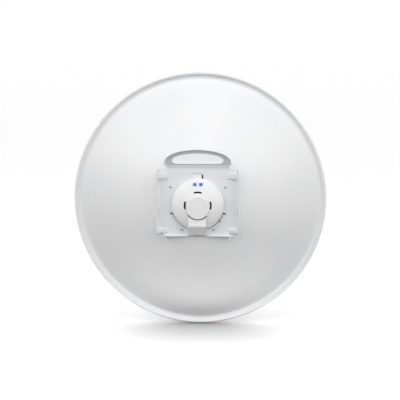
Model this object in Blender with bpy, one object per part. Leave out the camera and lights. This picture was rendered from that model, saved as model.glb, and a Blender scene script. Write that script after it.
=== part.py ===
"""A dish antenna for a point-to-point radio link, with its feed, rear plate and rear housing.

Metres, +Z up. The dish looks along +Y and its back faces -Y. The origin is on the flat rear
face of the back plate, on the centre line above the housing. Every mesh is modelled round the
dish's axis and hangs from one empty on it: x to the right as seen from behind, y forward from
the plate's rear face, z up from the axis.
"""

import math

import bmesh
import bpy
from mathutils import Matrix, Vector
from mathutils.geometry import delaunay_2d_cdt

# Driving dimensions, in metres.
ORIGIN_ABOVE_AXIS = 0.0662
GAP = 0.0003

# The reflector, a pressed sheet dish with a flat centre land and a gutter-shaped rim.
RIM_RADIUS = 0.260
FOCAL_LENGTH = 0.135
LAND_RADIUS = 0.070
LAND_BLEND = 0.006
DISH_HOLE_RADIUS = 0.047
DISH_SHEET = 0.0014
GUTTER_START = 0.2440
GUTTER_FALL = math.radians(50)
GUTTER_ARC = 0.0110
GUTTER_STRAIGHT = 0.0022
BEAD_RADIUS = 0.0024
BEAD_SET_BACK = 0.0005
DISH_ROWS = 9
GUTTER_STEPS = 5
DISH_SIDES = 72

# The back plate, a folded sheet with two side flanges, a bottom flange and a handle on top.
PLATE_SHEET = 0.0020
PLATE_HALF_WIDTH = 0.0818
PLATE_TOP = 0.0688
PLATE_BOTTOM = -0.0634
FLANGE_DEPTH = 0.0130
FLANGE_BEND = 0.0030
FOOT_BEND = 0.0020
SIDE_FLANGE_ANGLE = math.radians(72)
SIDE_FLANGE_FOOT = -0.0585
BOTTOM_FLANGE_HALF = 0.0722
CABLE_NOTCH_HALF = 0.0195
CORNER_RELIEF_Z = -0.0560
CORNER_RELIEF_STEP = 0.0004
FLANGE_CORNER = 0.0040
FLANGE_NICK = 0.0020
NECK_HALF = 0.0620
NECK_FILLET = 0.0050
EAR_FOOT = 0.0790
EAR_SLIT = 0.0008
HANDLE_BEND_START = 0.0695
HANDLE_BEND_RADIUS = 0.0230
HANDLE_TILT = math.radians(30)
HANDLE_HALF = 0.0592
HANDLE_SHOULDER = 0.0862
HANDLE_RISE = 0.0242
LIP_STEP = 0.0027
LIP_ANGLES = (math.radians(10), math.radians(28), math.radians(46))
LIP_SIDES = 24
SLOT_HALF = 0.0504
SLOT_FOOT = 0.0819
SLOT_CORNER = 0.0080
SLOT_TOP = 0.1063
HOOK_TOP = -0.0081
HOOK_SLIT = 0.0010
HOOK_FOOT = -0.0235
HOOK_RETURN = 0.0045
HOOK_OUT = 0.0020
HOOK_ROOT = 0.0020
PLATE_HOLE_RADIUS = 0.0470
ARC_WINDOW_RADIUS = 0.0538
LONG_NOTCH_RADIUS = 0.0605
SHORT_NOTCH_RADIUS = 0.0567
LOCK_WINDOW = (-0.0096, 0.0107, 0.0626)
LOCK_SIGHT = (0.0078, 0.0107, 0.0590)
LOCK_SIGHT_FOOT = 0.0400
RIVET_PLACES = ((-0.0547, 0.0329), (0.0547, 0.0329), (-0.0315, -0.0524), (0.0315, -0.0524))
RIVET_HOLE_RADIUS = 0.0034
RIVET_SHOULDER = 0.0004
RIVET_HEIGHT = 0.0011
GUSSETS = ((0.0568, 0.0074), (-0.0525, 0.0058))
GUSSET_ON_PLATE = 0.0170
GUSSET_ON_FLANGE = 0.0050
GUSSET_ROOT = 0.0024
GUSSET_LEAD = 0.0012
GUSSET_SHOULDER = 0.0007
GUSSET_CREST = 0.0024
GUSSET_SUNK = 0.0008
GUSSET_END_SHARE = 0.4
PAD_HALF = 0.0450
PAD_HEIGHTS = (0.0634, 0.0690)
PAD_RISE = 0.0003

# The twist-lock ring between the plate and the housing.
RING_THICKNESS = 0.0027
RING_RADIUS = 0.0510
LUG_INNER = 0.0440
LUG_RADIUS = 0.0505
LUG_ROOT = 0.0010
LUG_DEPTH = 0.0018
LUG_SPANS = ((202, 244), (296, 338))
LOCK_TAB = (-0.0092, 0.0076, 0.0610)
LOCK_TAB_CORNER = 0.0012
LOCK_TAB_SET_IN = 0.0001

# The rear housing, a dome whose flat crown lies a little low, and what sits on it.
HOUSING_RADIUS = 0.0522
HOUSING_RISE = 0.0190
HOUSING_POWER = 1.8
HOUSING_WALL = 0.0022
HOUSING_ROWS = 12
CROWN_RADIUS = 0.0240
CROWN_DROP = 0.0057
SLIT_RADIUS = 0.0258
SLIT_HALF_TURN = 17
SLIT_WIDTH = 0.0034
CAP_SHIFT = 0.0006
DISC_FOOT_RADIUS = 0.0232
DISC_RADIUS = 0.0224
DISC_FACE = 0.0228
DISC_WALL = 0.0018
DISC_EDGE = 0.0008
DISC_MOAT = 0.0015
PORT_HALF = 0.0180
PORT_TOP = -0.0190
PORT_FACE = 0.0208
COVER_FOOT = -0.0386
COVER_CORNER = 0.0012
COVER_THICKNESS = 0.0040
HOOD_TOP = -0.0389
HOOD_BROW = -0.0418
HOOD_FOOT = -0.0602
HOOD_FACE = 0.0255
HOOD_FOOT_FACE = 0.0115
HOOD_FOOT_HALF = 0.0160
HOOD_WALL = 0.0020
HOOD_SEAT = -0.0525
SOCKET_HALF = 0.0080
PLUG_HALF = 0.0061
PLUG_FLOOR = 0.0016
PLUG_ROOF = 0.0018
PLUG_STOP = 0.0025
CORE_RADIUS = 0.0292
CORE_DEPTH = 0.0090
SOCKET_TOP = -0.0310
SOCKET_FOOT = -0.0445
SOCKET_HEIGHT = 0.0100
LED_WINDOW_HEIGHT = 0.0409
LED_WINDOW_SIZE = (0.0215, 0.0084)
LED_SIZE = (0.0064, 0.0055)
LED_PITCH = 0.0116
LED_WINDOW_THICKNESS = 0.0030
LED_POCKET = 0.0060
LED_DEPTH = 0.0012
LED_RISE = 0.0002
LED_CORNER = 0.0012
LENS_CORNER = 0.0010

# The feed on the dish's front side, turned round the axis.
TUBE_RADIUS = 0.0400
TUBE_END = 0.1120
TUBE_NOSE = 0.0060
COLLAR_RADIUS = 0.0610
COLLAR_THICKNESS = 0.0060
COLLAR_SLOPE = 0.0030
COLLAR_SCREW_RADIUS = 0.0530
COLLAR_SCREW_ANGLES = (45, 135, 225, 315)
SCREW_HEAD_RADIUS = 0.0038
SCREW_HEAD_HEIGHT = 0.0024
BAND_START = 0.0800
BAND_LENGTH = 0.0120
BAND_THICKNESS = 0.0018
BAND_EDGE = 0.0008
NECK_RADIUS = 0.0300
NECK_WAIST = 0.0258
NECK_FLARE = 0.0330
NECK_LENGTH = 0.0140
NECK_FOOT = 0.0040
NECK_HEAD = 0.0030
SUB_REFLECTOR_RADIUS = 0.0450
SUB_REFLECTOR_THICKNESS = 0.0020
CAP_RADIUS = 0.0460
CAP_LENGTH = 0.0130
CAP_SKIRT = 0.0040
CAP_ROUND = 0.0090
TURNED_SIDES = 48
SMALL_SIDES = 16
SMOOTH_ANGLE = math.radians(35)
CLEAR = 0.0040

# The plate's opening: where each stretch starts and ends, in degrees, and how far out it is.
OPENING_SPANS = ((198.0, 199.0, ARC_WINDOW_RADIUS), (199.0, 201.4, LONG_NOTCH_RADIUS),
                 (201.4, 248.0, ARC_WINDOW_RADIUS), (248.0, 292.0, PLATE_HOLE_RADIUS),
                 (292.0, 321.2, ARC_WINDOW_RADIUS), (321.2, 323.4, SHORT_NOTCH_RADIUS),
                 (323.4, 338.6, ARC_WINDOW_RADIUS), (338.6, 341.0, LONG_NOTCH_RADIUS),
                 (341.0, 342.0, ARC_WINDOW_RADIUS))
OPENING_STEP = 3.0

PLATE_REAR = PAD_RISE
PLATE_MIDDLE = PLATE_REAR + PLATE_SHEET / 2
LAND_REAR = PLATE_REAR + PLATE_SHEET + GAP
LAND_FRONT = LAND_REAR + DISH_SHEET
RING_FRONT = PLATE_REAR - GAP
RING_REAR = RING_FRONT - RING_THICKNESS
HOUSING_BASE = RING_REAR - GAP
SIDE_ARC = FLANGE_BEND * SIDE_FLANGE_ANGLE
SIDE_DEPTH = FLANGE_DEPTH + PLATE_SHEET / 2 - FLANGE_BEND * (1 - math.cos(SIDE_FLANGE_ANGLE))
SIDE_RUN = SIDE_DEPTH / math.sin(SIDE_FLANGE_ANGLE)
SIDE_REACH = (PLATE_SHEET / 2 + FLANGE_BEND) * math.sin(SIDE_FLANGE_ANGLE)
SIDE_FLAT = PLATE_HALF_WIDTH - SIDE_REACH - SIDE_RUN * math.cos(SIDE_FLANGE_ANGLE)
SIDE_END = SIDE_FLAT + SIDE_ARC + SIDE_RUN
FOOT_ARC = FOOT_BEND * math.pi / 2
FOOT_FLAT = PLATE_BOTTOM + PLATE_SHEET / 2 + FOOT_BEND
FOOT_END = FOOT_FLAT - FOOT_ARC - (FLANGE_DEPTH + PLATE_SHEET / 2 - FOOT_BEND)
HOOK_INNER = SIDE_FLAT + SIDE_ARC + HOOK_ROOT + HOOK_SLIT
CROWN_SHIFT = CROWN_DROP * (1 - (CROWN_RADIUS / HOUSING_RADIUS) ** 2)


def clear_scene():
    for item in list(bpy.data.objects):
        bpy.data.objects.remove(item, do_unlink=True)


def material(name, colour, roughness, metallic=0.0):
    made = bpy.data.materials.new(name)
    made.use_nodes = True
    shader = made.node_tree.nodes["Principled BSDF"]
    shader.inputs["Base Color"].default_value = (*colour, 1.0)
    shader.inputs["Roughness"].default_value = roughness
    shader.inputs["Metallic"].default_value = metallic
    return made


def dish_axis():
    axis = bpy.data.objects.new("dish_axis", None)
    axis.location = (0.0, 0.0, -ORIGIN_ABOVE_AXIS)
    bpy.context.scene.collection.objects.link(axis)
    return axis


def finished(name, shape, finish, axis, place=None):
    """Turn a bmesh into a named object under the axis, with its faces pointing out."""
    bmesh.ops.recalc_face_normals(shape, faces=shape.faces)
    mesh = bpy.data.meshes.new(name)
    shape.to_mesh(mesh)
    shape.free()
    mesh.materials.append(finish)
    mesh.shade_smooth()
    mesh.set_sharp_from_angle(angle=SMOOTH_ANGLE)
    item = bpy.data.objects.new(name, mesh)
    bpy.context.scene.collection.objects.link(item)
    item.parent = axis
    if place is not None:
        item.matrix_local = place
    return item


def turned(profile, sides):
    """A closed solid turned round Y from (radius, y) points in order round the section."""
    shape = bmesh.new()
    rings = []
    for radius, y in profile:
        if radius == 0:
            rings.append([shape.verts.new((0.0, y, 0.0))])
            continue
        turns = [2 * math.pi * step / sides for step in range(sides)]
        ring = [shape.verts.new((radius * math.cos(a), y, radius * math.sin(a))) for a in turns]
        rings.append(ring)
    for near, far in zip(rings, rings[1:] + rings[:1]):
        for step in range(sides):
            after = (step + 1) % sides
            if len(near) == 1 and len(far) == 1:
                continue
            if len(near) == 1:
                shape.faces.new((near[0], far[step], far[after]))
            elif len(far) == 1:
                shape.faces.new((near[step], far[0], near[after]))
            else:
                shape.faces.new((near[step], far[step], far[after], near[after]))
    return shape


def prism(outline, place, low, high):
    """A closed solid from a flat outline, with place(a, b, t) giving each end's points."""
    shape = bmesh.new()
    ends = [[shape.verts.new(place(a, b, t)) for a, b in outline] for t in (low, high)]
    shape.faces.new(ends[0])
    shape.faces.new(reversed(ends[1]))
    count = len(outline)
    for step in range(count):
        after = (step + 1) % count
        shape.faces.new((ends[0][step], ends[0][after], ends[1][after], ends[1][step]))
    return shape


def facing_back(x, z, y):
    return (x, y, z)


def across(y, z, x):
    return (x, y, z)


def upright(x, y, z):
    return (x, y, z)


def joined(shapes):
    """One bmesh that holds several closed solids."""
    whole = bmesh.new()
    for shape in shapes:
        bmesh.ops.recalc_face_normals(shape, faces=shape.faces)
        mesh = bpy.data.meshes.new("piece")
        shape.to_mesh(mesh)
        shape.free()
        whole.from_mesh(mesh)
        bpy.data.meshes.remove(mesh)
    return whole


def helper(name, shape, axis, place=None):
    """A hidden solid that a Boolean adds or cuts."""
    finish = bpy.data.materials.get("helper") or bpy.data.materials.new("helper")
    item = finished(name, shape, finish, axis, place)
    item.hide_render = True
    item.display_type = "WIRE"
    return item


def boolean(item, other, operation="DIFFERENCE"):
    change = item.modifiers.new(other.name, "BOOLEAN")
    change.operation = operation
    change.solver = "EXACT"
    change.object = other


def arc(centre, radius, start, end, steps):
    """Points of a circular arc, angles in degrees."""
    turns = [math.radians(start + (end - start) * step / steps) for step in range(steps + 1)]
    return [(centre[0] + radius * math.cos(a), centre[1] + radius * math.sin(a)) for a in turns]


def box_outline(x_low, x_high, z_low, z_high, corner=0.0, steps=3):
    if corner == 0.0:
        return [(x_low, z_low), (x_high, z_low), (x_high, z_high), (x_low, z_high)]
    points = arc((x_high - corner, z_low + corner), corner, -90, 0, steps)
    points += arc((x_high - corner, z_high - corner), corner, 0, 90, steps)
    points += arc((x_low + corner, z_high - corner), corner, 90, 180, steps)
    points += arc((x_low + corner, z_low + corner), corner, 180, 270, steps)
    return points


def dish_height(radius):
    """How far forward of the land's rear face the dish's rear surface is."""
    return (radius**2 - LAND_RADIUS**2) / (4 * FOCAL_LENGTH)


def dish_middle_line():
    """(radius, y) points along the middle of the dish's sheet, from the hole to the bead."""
    middle = LAND_REAR + DISH_SHEET / 2
    start = LAND_RADIUS + LAND_BLEND
    points = [(DISH_HOLE_RADIUS, middle), (LAND_RADIUS - LAND_BLEND, middle)]
    points.append((LAND_RADIUS, middle + dish_height(start) / 4))
    for row in range(DISH_ROWS + 1):
        radius = start + (GUTTER_START - start) * row / DISH_ROWS
        points.append((radius, middle + dish_height(radius)))
    radius, y = points[-1]
    slope = math.atan(GUTTER_START / (2 * FOCAL_LENGTH))
    for step in range(GUTTER_STEPS):
        angle = slope - (slope + GUTTER_FALL) * (step + 0.5) / GUTTER_STEPS
        radius += GUTTER_ARC / GUTTER_STEPS * math.cos(angle)
        y += GUTTER_ARC / GUTTER_STEPS * math.sin(angle)
        points.append((radius, y))
    radius += GUTTER_STRAIGHT * math.cos(GUTTER_FALL)
    y -= GUTTER_STRAIGHT * math.sin(GUTTER_FALL)
    points.append((radius, y))
    return points


def offset_line(points, distance):
    """The same line moved sideways by distance, to the left of its direction."""
    moved = []
    for index, (r, y) in enumerate(points):
        before = points[max(index - 1, 0)]
        after = points[min(index + 1, len(points) - 1)]
        dr = after[0] - before[0]
        dy = after[1] - before[1]
        length = math.hypot(dr, dy)
        moved.append((r - distance * dy / length, y + distance * dr / length))
    return moved


def reflector(axis, finish):
    middle = dish_middle_line()
    front = offset_line(middle, DISH_SHEET / 2)
    rear = offset_line(middle, -DISH_SHEET / 2)
    bead_centre = (RIM_RADIUS - BEAD_RADIUS, middle[-1][1] - BEAD_SET_BACK)
    bead = arc(bead_centre, BEAD_RADIUS, 140, -140, 7)
    item = finished("reflector", turned(front + bead + rear[::-1], DISH_SIDES), finish, axis)
    x_low, x_high, top = LOCK_SIGHT
    sight = box_outline(x_low, x_high, LOCK_SIGHT_FOOT, top)
    notch = prism(sight, facing_back, LAND_REAR - CLEAR, LAND_FRONT + CLEAR)
    boolean(item, helper("lock_sight", notch, axis))
    return item


def folded_side(u):
    """x and rearward depth of a point at distance u along the blank's width."""
    run = abs(u) - SIDE_FLAT
    side = math.copysign(1.0, u)
    if run <= 0:
        return u, 0.0
    turn = min(run / FLANGE_BEND, SIDE_FLANGE_ANGLE)
    x = SIDE_FLAT + FLANGE_BEND * math.sin(turn)
    back = FLANGE_BEND * (1 - math.cos(turn))
    straight = max(run - SIDE_ARC, 0.0)
    return side * (x + straight * math.cos(turn)), back + straight * math.sin(turn)


def folded_height(v):
    """z, rearward depth and tilt of a point at height v up the blank."""
    if v < FOOT_FLAT:
        turn = min((FOOT_FLAT - v) / FOOT_BEND, math.pi / 2)
        z = FOOT_FLAT - FOOT_BEND * math.sin(turn)
        straight = max(FOOT_FLAT - FOOT_ARC - v, 0.0)
        return z, FOOT_BEND * (1 - math.cos(turn)) + straight, 0.0
    if v <= HANDLE_BEND_START:
        return v, 0.0, 0.0
    turn = min((v - HANDLE_BEND_START) / HANDLE_BEND_RADIUS, HANDLE_TILT)
    z = HANDLE_BEND_START + HANDLE_BEND_RADIUS * math.sin(turn)
    back = HANDLE_BEND_RADIUS * (1 - math.cos(turn))
    straight = max(v - HANDLE_BEND_START - HANDLE_BEND_RADIUS * HANDLE_TILT, 0.0)
    return z + straight * math.cos(HANDLE_TILT), back + straight * math.sin(HANDLE_TILT), turn


def on_sheet(u, v, lift=0.0, out=0.0):
    """The folded place of a blank point, lifted off the sheet to the rear, or moved outwards."""
    x, side_back = folded_side(u)
    z, height_back, tilt = folded_height(v)
    y = PLATE_MIDDLE - side_back - height_back - lift * math.cos(tilt)
    return (x + math.copysign(out, u), y, z - lift * math.sin(tilt))


def handle_edge():
    """Where the handle's lip starts: up the right side, over the top and down the left."""
    points = [(HANDLE_HALF, EAR_FOOT)]
    for step in range(LIP_SIDES + 1):
        a = math.pi * step / LIP_SIDES
        points.append((HANDLE_HALF * math.cos(a), HANDLE_SHOULDER + HANDLE_RISE * math.sin(a)))
    points.append((-HANDLE_HALF, EAR_FOOT))
    return points


def handle_lip():
    """The lip's rows from its start to its edge: lists of (u, v, lift)."""
    edge = handle_edge()
    rows = [[(u, v, 0.0) for u, v in edge]]
    run = 0.0
    lift = 0.0
    for angle in LIP_ANGLES:
        run += LIP_STEP * math.cos(angle)
        lift += LIP_STEP * math.sin(angle)
        moved = offset_line(edge, -run)
        moved[0] = (edge[0][0] + run, EAR_FOOT)
        moved[-1] = (edge[-1][0] - run, EAR_FOOT)
        rows.append([(u, v, lift) for u, v in moved])
    return rows


def slot_outline():
    """The hand slot: a straight foot, round lower corners and an elliptical top."""
    corner_x = SLOT_HALF - SLOT_CORNER
    shoulder = SLOT_FOOT + SLOT_CORNER
    points = arc((corner_x, shoulder), SLOT_CORNER, -90, 0, 4)
    steps = 20
    for step in range(1, steps):
        a = math.pi * step / steps
        points.append((SLOT_HALF * math.cos(a), shoulder + (SLOT_TOP - shoulder) * math.sin(a)))
    points += arc((-corner_x, shoulder), SLOT_CORNER, 180, 270, 4)
    return points


def plate_hole():
    """The plate's round opening with its windows, and the lock tab's window on top."""
    centre = (0.0, 0.0)
    x_low, x_high, top = LOCK_WINDOW
    right = math.degrees(math.acos(x_high / PLATE_HOLE_RADIUS))
    left = math.degrees(math.acos(x_low / PLATE_HOLE_RADIUS))
    first = OPENING_SPANS[0][0]
    last = OPENING_SPANS[-1][1] - 360
    points = []
    for start, end, radius in OPENING_SPANS:
        steps = max(round((end - start) / OPENING_STEP), 1)
        points += arc(centre, radius, start, end, steps)
    points += arc(centre, PLATE_HOLE_RADIUS, last, right, round((right - last) / OPENING_STEP))
    points += [(x_high, top), (x_low, top)]
    points += arc(centre, PLATE_HOLE_RADIUS, left, first, round((first - left) / OPENING_STEP))
    return points


def plate_blank():
    """The blank's outer loop, anticlockwise from behind: lists of (u, v, lift, out)."""
    root = HOOK_INNER - HOOK_SLIT
    return_foot = HOOK_FOOT - HOOK_RETURN
    hook_end = HOOK_TOP - HOOK_SLIT
    relief = SIDE_FLAT - CORNER_RELIEF_STEP
    nick = (SIDE_END - FLANGE_NICK, SIDE_FLANGE_FOOT + FLANGE_NICK)
    right = [(CABLE_NOTCH_HALF, FOOT_FLAT), (CABLE_NOTCH_HALF, FOOT_END)]
    right += [(BOTTOM_FLANGE_HALF, FOOT_END), (BOTTOM_FLANGE_HALF, CORNER_RELIEF_Z)]
    right += [(relief, CORNER_RELIEF_Z), (relief, SIDE_FLANGE_FOOT)]
    right += [(nick[0], SIDE_FLANGE_FOOT), (SIDE_END, nick[1]), (SIDE_END, return_foot)]
    right = [(u, v, 0, 0) for u, v in right]
    right += [(SIDE_END, HOOK_FOOT, 0, HOOK_OUT), (SIDE_END, hook_end, 0, HOOK_OUT)]
    right += [(HOOK_INNER, hook_end, 0, HOOK_OUT), (HOOK_INNER, HOOK_FOOT, 0, HOOK_OUT)]
    upper = [(HOOK_INNER, return_foot), (root, return_foot), (root, HOOK_TOP)]
    upper += [(SIDE_END, HOOK_TOP)]
    corner_centre = (SIDE_END - FLANGE_CORNER, PLATE_TOP - FLANGE_CORNER)
    upper += arc(corner_centre, FLANGE_CORNER, 0, 90, 3)
    fillet_centre = (NECK_HALF + NECK_FILLET, PLATE_TOP + NECK_FILLET)
    upper += arc(fillet_centre, NECK_FILLET, 270, 180, 4)
    upper += [(NECK_HALF, EAR_FOOT - EAR_SLIT), (HANDLE_HALF, EAR_FOOT - EAR_SLIT)]
    right += [(u, v, 0, 0) for u, v in upper]
    left = [(-u, v, lift, out) for u, v, lift, out in reversed(right)]
    lip = [[(*point, 0) for point in row] for row in handle_lip()]
    handle = [row[0] for row in lip[:-1]] + lip[-1] + [row[-1] for row in reversed(lip[:-1])]
    return right + handle + left


def neck_half(v):
    """Half the blank's width at height v of the neck and the handle."""
    if v > EAR_FOOT - EAR_SLIT:
        return HANDLE_HALF
    rise = max(PLATE_TOP + NECK_FILLET - v, 0.0)
    return NECK_HALF + NECK_FILLET - math.sqrt(NECK_FILLET**2 - rise**2)


def blank_lines():
    """Lines inside the blank that have to be edges: bends, the lip's rows and the hooks' folds."""
    lines = []
    for part in (0.0, 1 / 3, 2 / 3, 1.0):
        for side in (-1, 1):
            u = side * (SIDE_FLAT + SIDE_ARC * part)
            lines.append([(u, SIDE_FLANGE_FOOT, 0, 0), (u, PLATE_TOP, 0, 0)])
            v = FOOT_FLAT - FOOT_ARC * part
            ends = (side * CABLE_NOTCH_HALF, side * BOTTOM_FLANGE_HALF)
            lines.append([(w, v, 0, 0) for w in ends])
    for side in (-1, 1):
        for v, out in ((HOOK_FOOT, HOOK_OUT), (HOOK_FOOT - HOOK_RETURN, 0)):
            lines.append([(side * HOOK_INNER, v, 0, out), (side * SIDE_END, v, 0, out)])
    for part in (0.0, 0.25, 0.5, 0.75, 1.0):
        v = HANDLE_BEND_START + HANDLE_BEND_RADIUS * HANDLE_TILT * part
        lines.append([(-neck_half(v), v, 0, 0), (neck_half(v), v, 0, 0)])
    for row in handle_lip()[:-1]:
        lines.append([(*point, 0) for point in row])
    return lines


def inside(point, outline):
    """Whether a flat point is inside an outline."""
    x, y = point
    count = 0
    for (x0, y0), (x1, y1) in zip(outline, outline[1:] + outline[:1]):
        if (y0 > y) != (y1 > y) and x < x0 + (y - y0) / (y1 - y0) * (x1 - x0):
            count += 1
    return count % 2 == 1


def plate_sheet_mesh():
    """The plate's middle surface: the blank with its holes, triangulated and folded."""
    blank = plate_blank()
    holes = [[(*p, 0, 0) for p in slot_outline()], [(*p, 0, 0) for p in plate_hole()]]
    for x, z in RIVET_PLACES:
        rivet = arc((x, z), RIVET_HOLE_RADIUS, 0, 330, 11)
        holes.append([(*p, 0, 0) for p in rivet])
    points = []
    edges = []
    for loop in [blank] + holes:
        edges += chain(points, loop, True)
    for line in blank_lines():
        edges += chain(points, line, False)
    flat = [Vector(point[:2]) for point in points]
    verts, _, faces, sources, _, _ = delaunay_2d_cdt(flat, edges, [], 1, 1e-6)
    outline = [point[:2] for point in blank]
    hole_outlines = [[point[:2] for point in hole] for hole in holes]
    shape = bmesh.new()
    placed = []
    for vert, source in zip(verts, sources):
        lift, out = points[source[0]][2:] if source else (0.0, 0.0)
        placed.append(shape.verts.new(on_sheet(vert[0], vert[1], lift, out)))
    for face in faces:
        centre = [sum(verts[i][k] for i in face) / len(face) for k in (0, 1)]
        if inside(centre, outline) and not any(inside(centre, hole) for hole in hole_outlines):
            shape.faces.new([placed[i] for i in face])
    loose = [vert for vert in shape.verts if not vert.link_faces]
    bmesh.ops.delete(shape, geom=loose, context="VERTS")
    return shape


def chain(points, loop, closed):
    """Adds a loop's points, and returns the edges that join them."""
    start = len(points)
    points += loop
    count = len(loop)
    edges = [(start + step, start + step + 1) for step in range(count - 1)]
    if closed:
        edges.append((start + count - 1, start))
    return edges


def gusset(side, height, half_height):
    """A low pressed rib across the bend between the plate and a side flange."""
    lean = 1 / math.tan(SIDE_FLANGE_ANGLE)
    corner_x = SIDE_FLAT + GUSSET_ROOT
    floor = PLATE_REAR + GUSSET_SUNK
    shape = bmesh.new()
    steps = 8
    sections = []
    for step in range(steps + 1):
        part = -1 + 2 * step / steps
        swell = max((1 - part**4) ** 0.25, GUSSET_END_SHARE)
        z = height + part * half_height
        foot = corner_x - GUSSET_ON_PLATE * swell
        back = -GUSSET_ON_FLANGE * swell
        wall = corner_x + (PLATE_REAR - back) * lean
        shoulder = PLATE_REAR - GUSSET_SHOULDER * swell
        outline = [(corner_x, floor), (foot, floor), (foot + GUSSET_LEAD, shoulder)]
        outline += [(wall - GUSSET_CREST, back), (wall, back)]
        sections.append([shape.verts.new((side * x, y, z)) for x, y in outline])
    for near, far in zip(sections, sections[1:]):
        for k in range(len(near)):
            after = (k + 1) % len(near)
            shape.faces.new((near[k], near[after], far[after], far[k]))
    shape.faces.new(sections[0])
    shape.faces.new(reversed(sections[-1]))
    return shape


def back_plate(axis, finish):
    item = finished("back_plate", plate_sheet_mesh(), finish, axis)
    thick = item.modifiers.new("sheet", "SOLIDIFY")
    thick.thickness = PLATE_SHEET
    thick.offset = 0.0
    thick.use_even_offset = True
    raised = [gusset(side, *size) for side in (-1, 1) for size in GUSSETS]
    pad = box_outline(-PAD_HALF, PAD_HALF, *PAD_HEIGHTS)
    raised.append(prism(pad, facing_back, 0.0, PLATE_MIDDLE))
    boolean(item, helper("gussets_and_pad", joined(raised), axis), "UNION")
    return item


def plate_rivets(axis, finish):
    seat = LAND_REAR - GAP
    radius = RIVET_HOLE_RADIUS - GAP
    profile = [(0.0, seat), (radius, seat), (radius, seat - RIVET_SHOULDER)]
    profile += [(radius * 0.7, seat - RIVET_HEIGHT * 0.8), (radius * 0.3, seat - RIVET_HEIGHT)]
    profile += [(0.0, seat - RIVET_HEIGHT)]
    for number, (x, z) in enumerate(RIVET_PLACES, start=1):
        place = Matrix.Translation((x, 0.0, z))
        finished(f"plate_rivet_{number}", turned(profile, SMALL_SIDES), finish, axis, place)


def sector(inner, outer, start, end, y_low, y_high, steps=6):
    outline = arc((0.0, 0.0), outer, start, end, steps) + arc((0.0, 0.0), inner, end, start, steps)
    return prism(outline, facing_back, y_low, y_high)


def bayonet_ring(axis, finish):
    """The twist-lock ring, with its lugs under the dome's edge and the lock tab above."""
    inner = TUBE_RADIUS + GAP
    profile = [(inner, RING_FRONT), (RING_RADIUS, RING_FRONT)]
    profile += [(RING_RADIUS, RING_REAR), (inner, RING_REAR)]
    item = finished("bayonet_ring", turned(profile, TURNED_SIDES), finish, axis)
    root = RING_FRONT - LUG_ROOT
    front = PLATE_REAR + LUG_DEPTH
    extras = [sector(LUG_INNER, LUG_RADIUS, *span, root, front) for span in LUG_SPANS]
    x_low, x_high, top = LOCK_TAB
    neck = box_outline(x_low, x_high, LUG_INNER, LUG_RADIUS - GAP)
    extras.append(prism(neck, facing_back, root, front - LOCK_TAB_SET_IN))
    boolean(item, helper("lugs_and_neck", joined(extras), axis), "UNION")
    outline = box_outline(x_low, x_high, LUG_INNER + GAP, top, LOCK_TAB_CORNER)
    tab = prism(outline, facing_back, PLATE_REAR + LOCK_TAB_SET_IN, front)
    boolean(item, helper("lock_tab", tab, axis), "UNION")
    return item


def dome_height(radius, rise, reach):
    """The dome's height over its base: level on the crown, then falling to the edge."""
    part = max(radius, CROWN_RADIUS) / reach
    return rise * (1 - min(part, 1.0) ** HOUSING_POWER) ** (1 / HOUSING_POWER)


def dome_line(reach, rise):
    """(radius, y) points from the crown's centre to the edge of one face of the dome."""
    points = [(0.0, HOUSING_BASE - dome_height(0.0, rise, reach))]
    for step in range(HOUSING_ROWS + 1):
        part = math.sin(math.pi / 2 * step / HOUSING_ROWS)
        radius = CROWN_RADIUS + (reach - CROWN_RADIUS) * part
        points.append((radius, HOUSING_BASE - dome_height(radius, rise, reach)))
    return points


def dome_shell():
    """The dome's shell, with its rings moved down towards the crown."""
    outer = dome_line(HOUSING_RADIUS, HOUSING_RISE)
    inner = dome_line(HOUSING_RADIUS - HOUSING_WALL, HOUSING_RISE - HOUSING_WALL)
    shape = turned(outer + inner[::-1], TURNED_SIDES)
    for vert in shape.verts:
        radius = math.hypot(vert.co.x, vert.co.z)
        vert.co.z -= CROWN_DROP * (1 - (radius / HOUSING_RADIUS) ** 2)
    return shape


def radius_above(z):
    """The dome's radius, before its rings moved down, of the point at height z on its middle."""
    bend = CROWN_DROP / HOUSING_RADIUS**2
    return (math.sqrt(1 + 4 * bend * (CROWN_DROP + z)) - 1) / (2 * bend)


def rear_housing(axis, finish):
    item = finished("rear_housing", dome_shell(), finish, axis)
    slits = []
    inner = SLIT_RADIUS - SLIT_WIDTH / 2
    outer = SLIT_RADIUS + SLIT_WIDTH / 2
    for turn in (0, 90, 180):
        ends = (turn - SLIT_HALF_TURN, turn + SLIT_HALF_TURN)
        slits.append(sector(inner, outer, *ends, -DISC_FACE, HOUSING_BASE + CLEAR))
    place = Matrix.Translation((CAP_SHIFT, 0.0, 0.0))
    boolean(item, helper("slits", joined(slits), axis, place))
    reach = PORT_HALF + GAP
    outline = box_outline(-reach, reach, -HOUSING_RADIUS - CLEAR, PORT_TOP + GAP)
    bay = prism(outline, facing_back, -DISC_FACE, HOUSING_BASE + CLEAR)
    boolean(item, helper("port_bay", bay, axis))
    width, height = (size + 2 * GAP for size in LED_WINDOW_SIZE)
    pocket = led_block(width, height, -LED_POCKET, LED_WINDOW_THICKNESS)
    boolean(item, helper("led_pocket", pocket, axis, led_place()))
    return item


def led_place():
    """Where the LED window lies: on the dome's surface and tilted with it."""
    half = LED_WINDOW_SIZE[1] / 2
    ends = (LED_WINDOW_HEIGHT - half, LED_WINDOW_HEIGHT + half)
    low, high = (dome_height(radius_above(z), HOUSING_RISE, HOUSING_RADIUS) for z in ends)
    tilt = math.atan2(low - high, 2 * half)
    move = Matrix.Translation((CAP_SHIFT, HOUSING_BASE - (low + high) / 2, LED_WINDOW_HEIGHT))
    return move @ Matrix.Rotation(-tilt, 4, "X")


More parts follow.
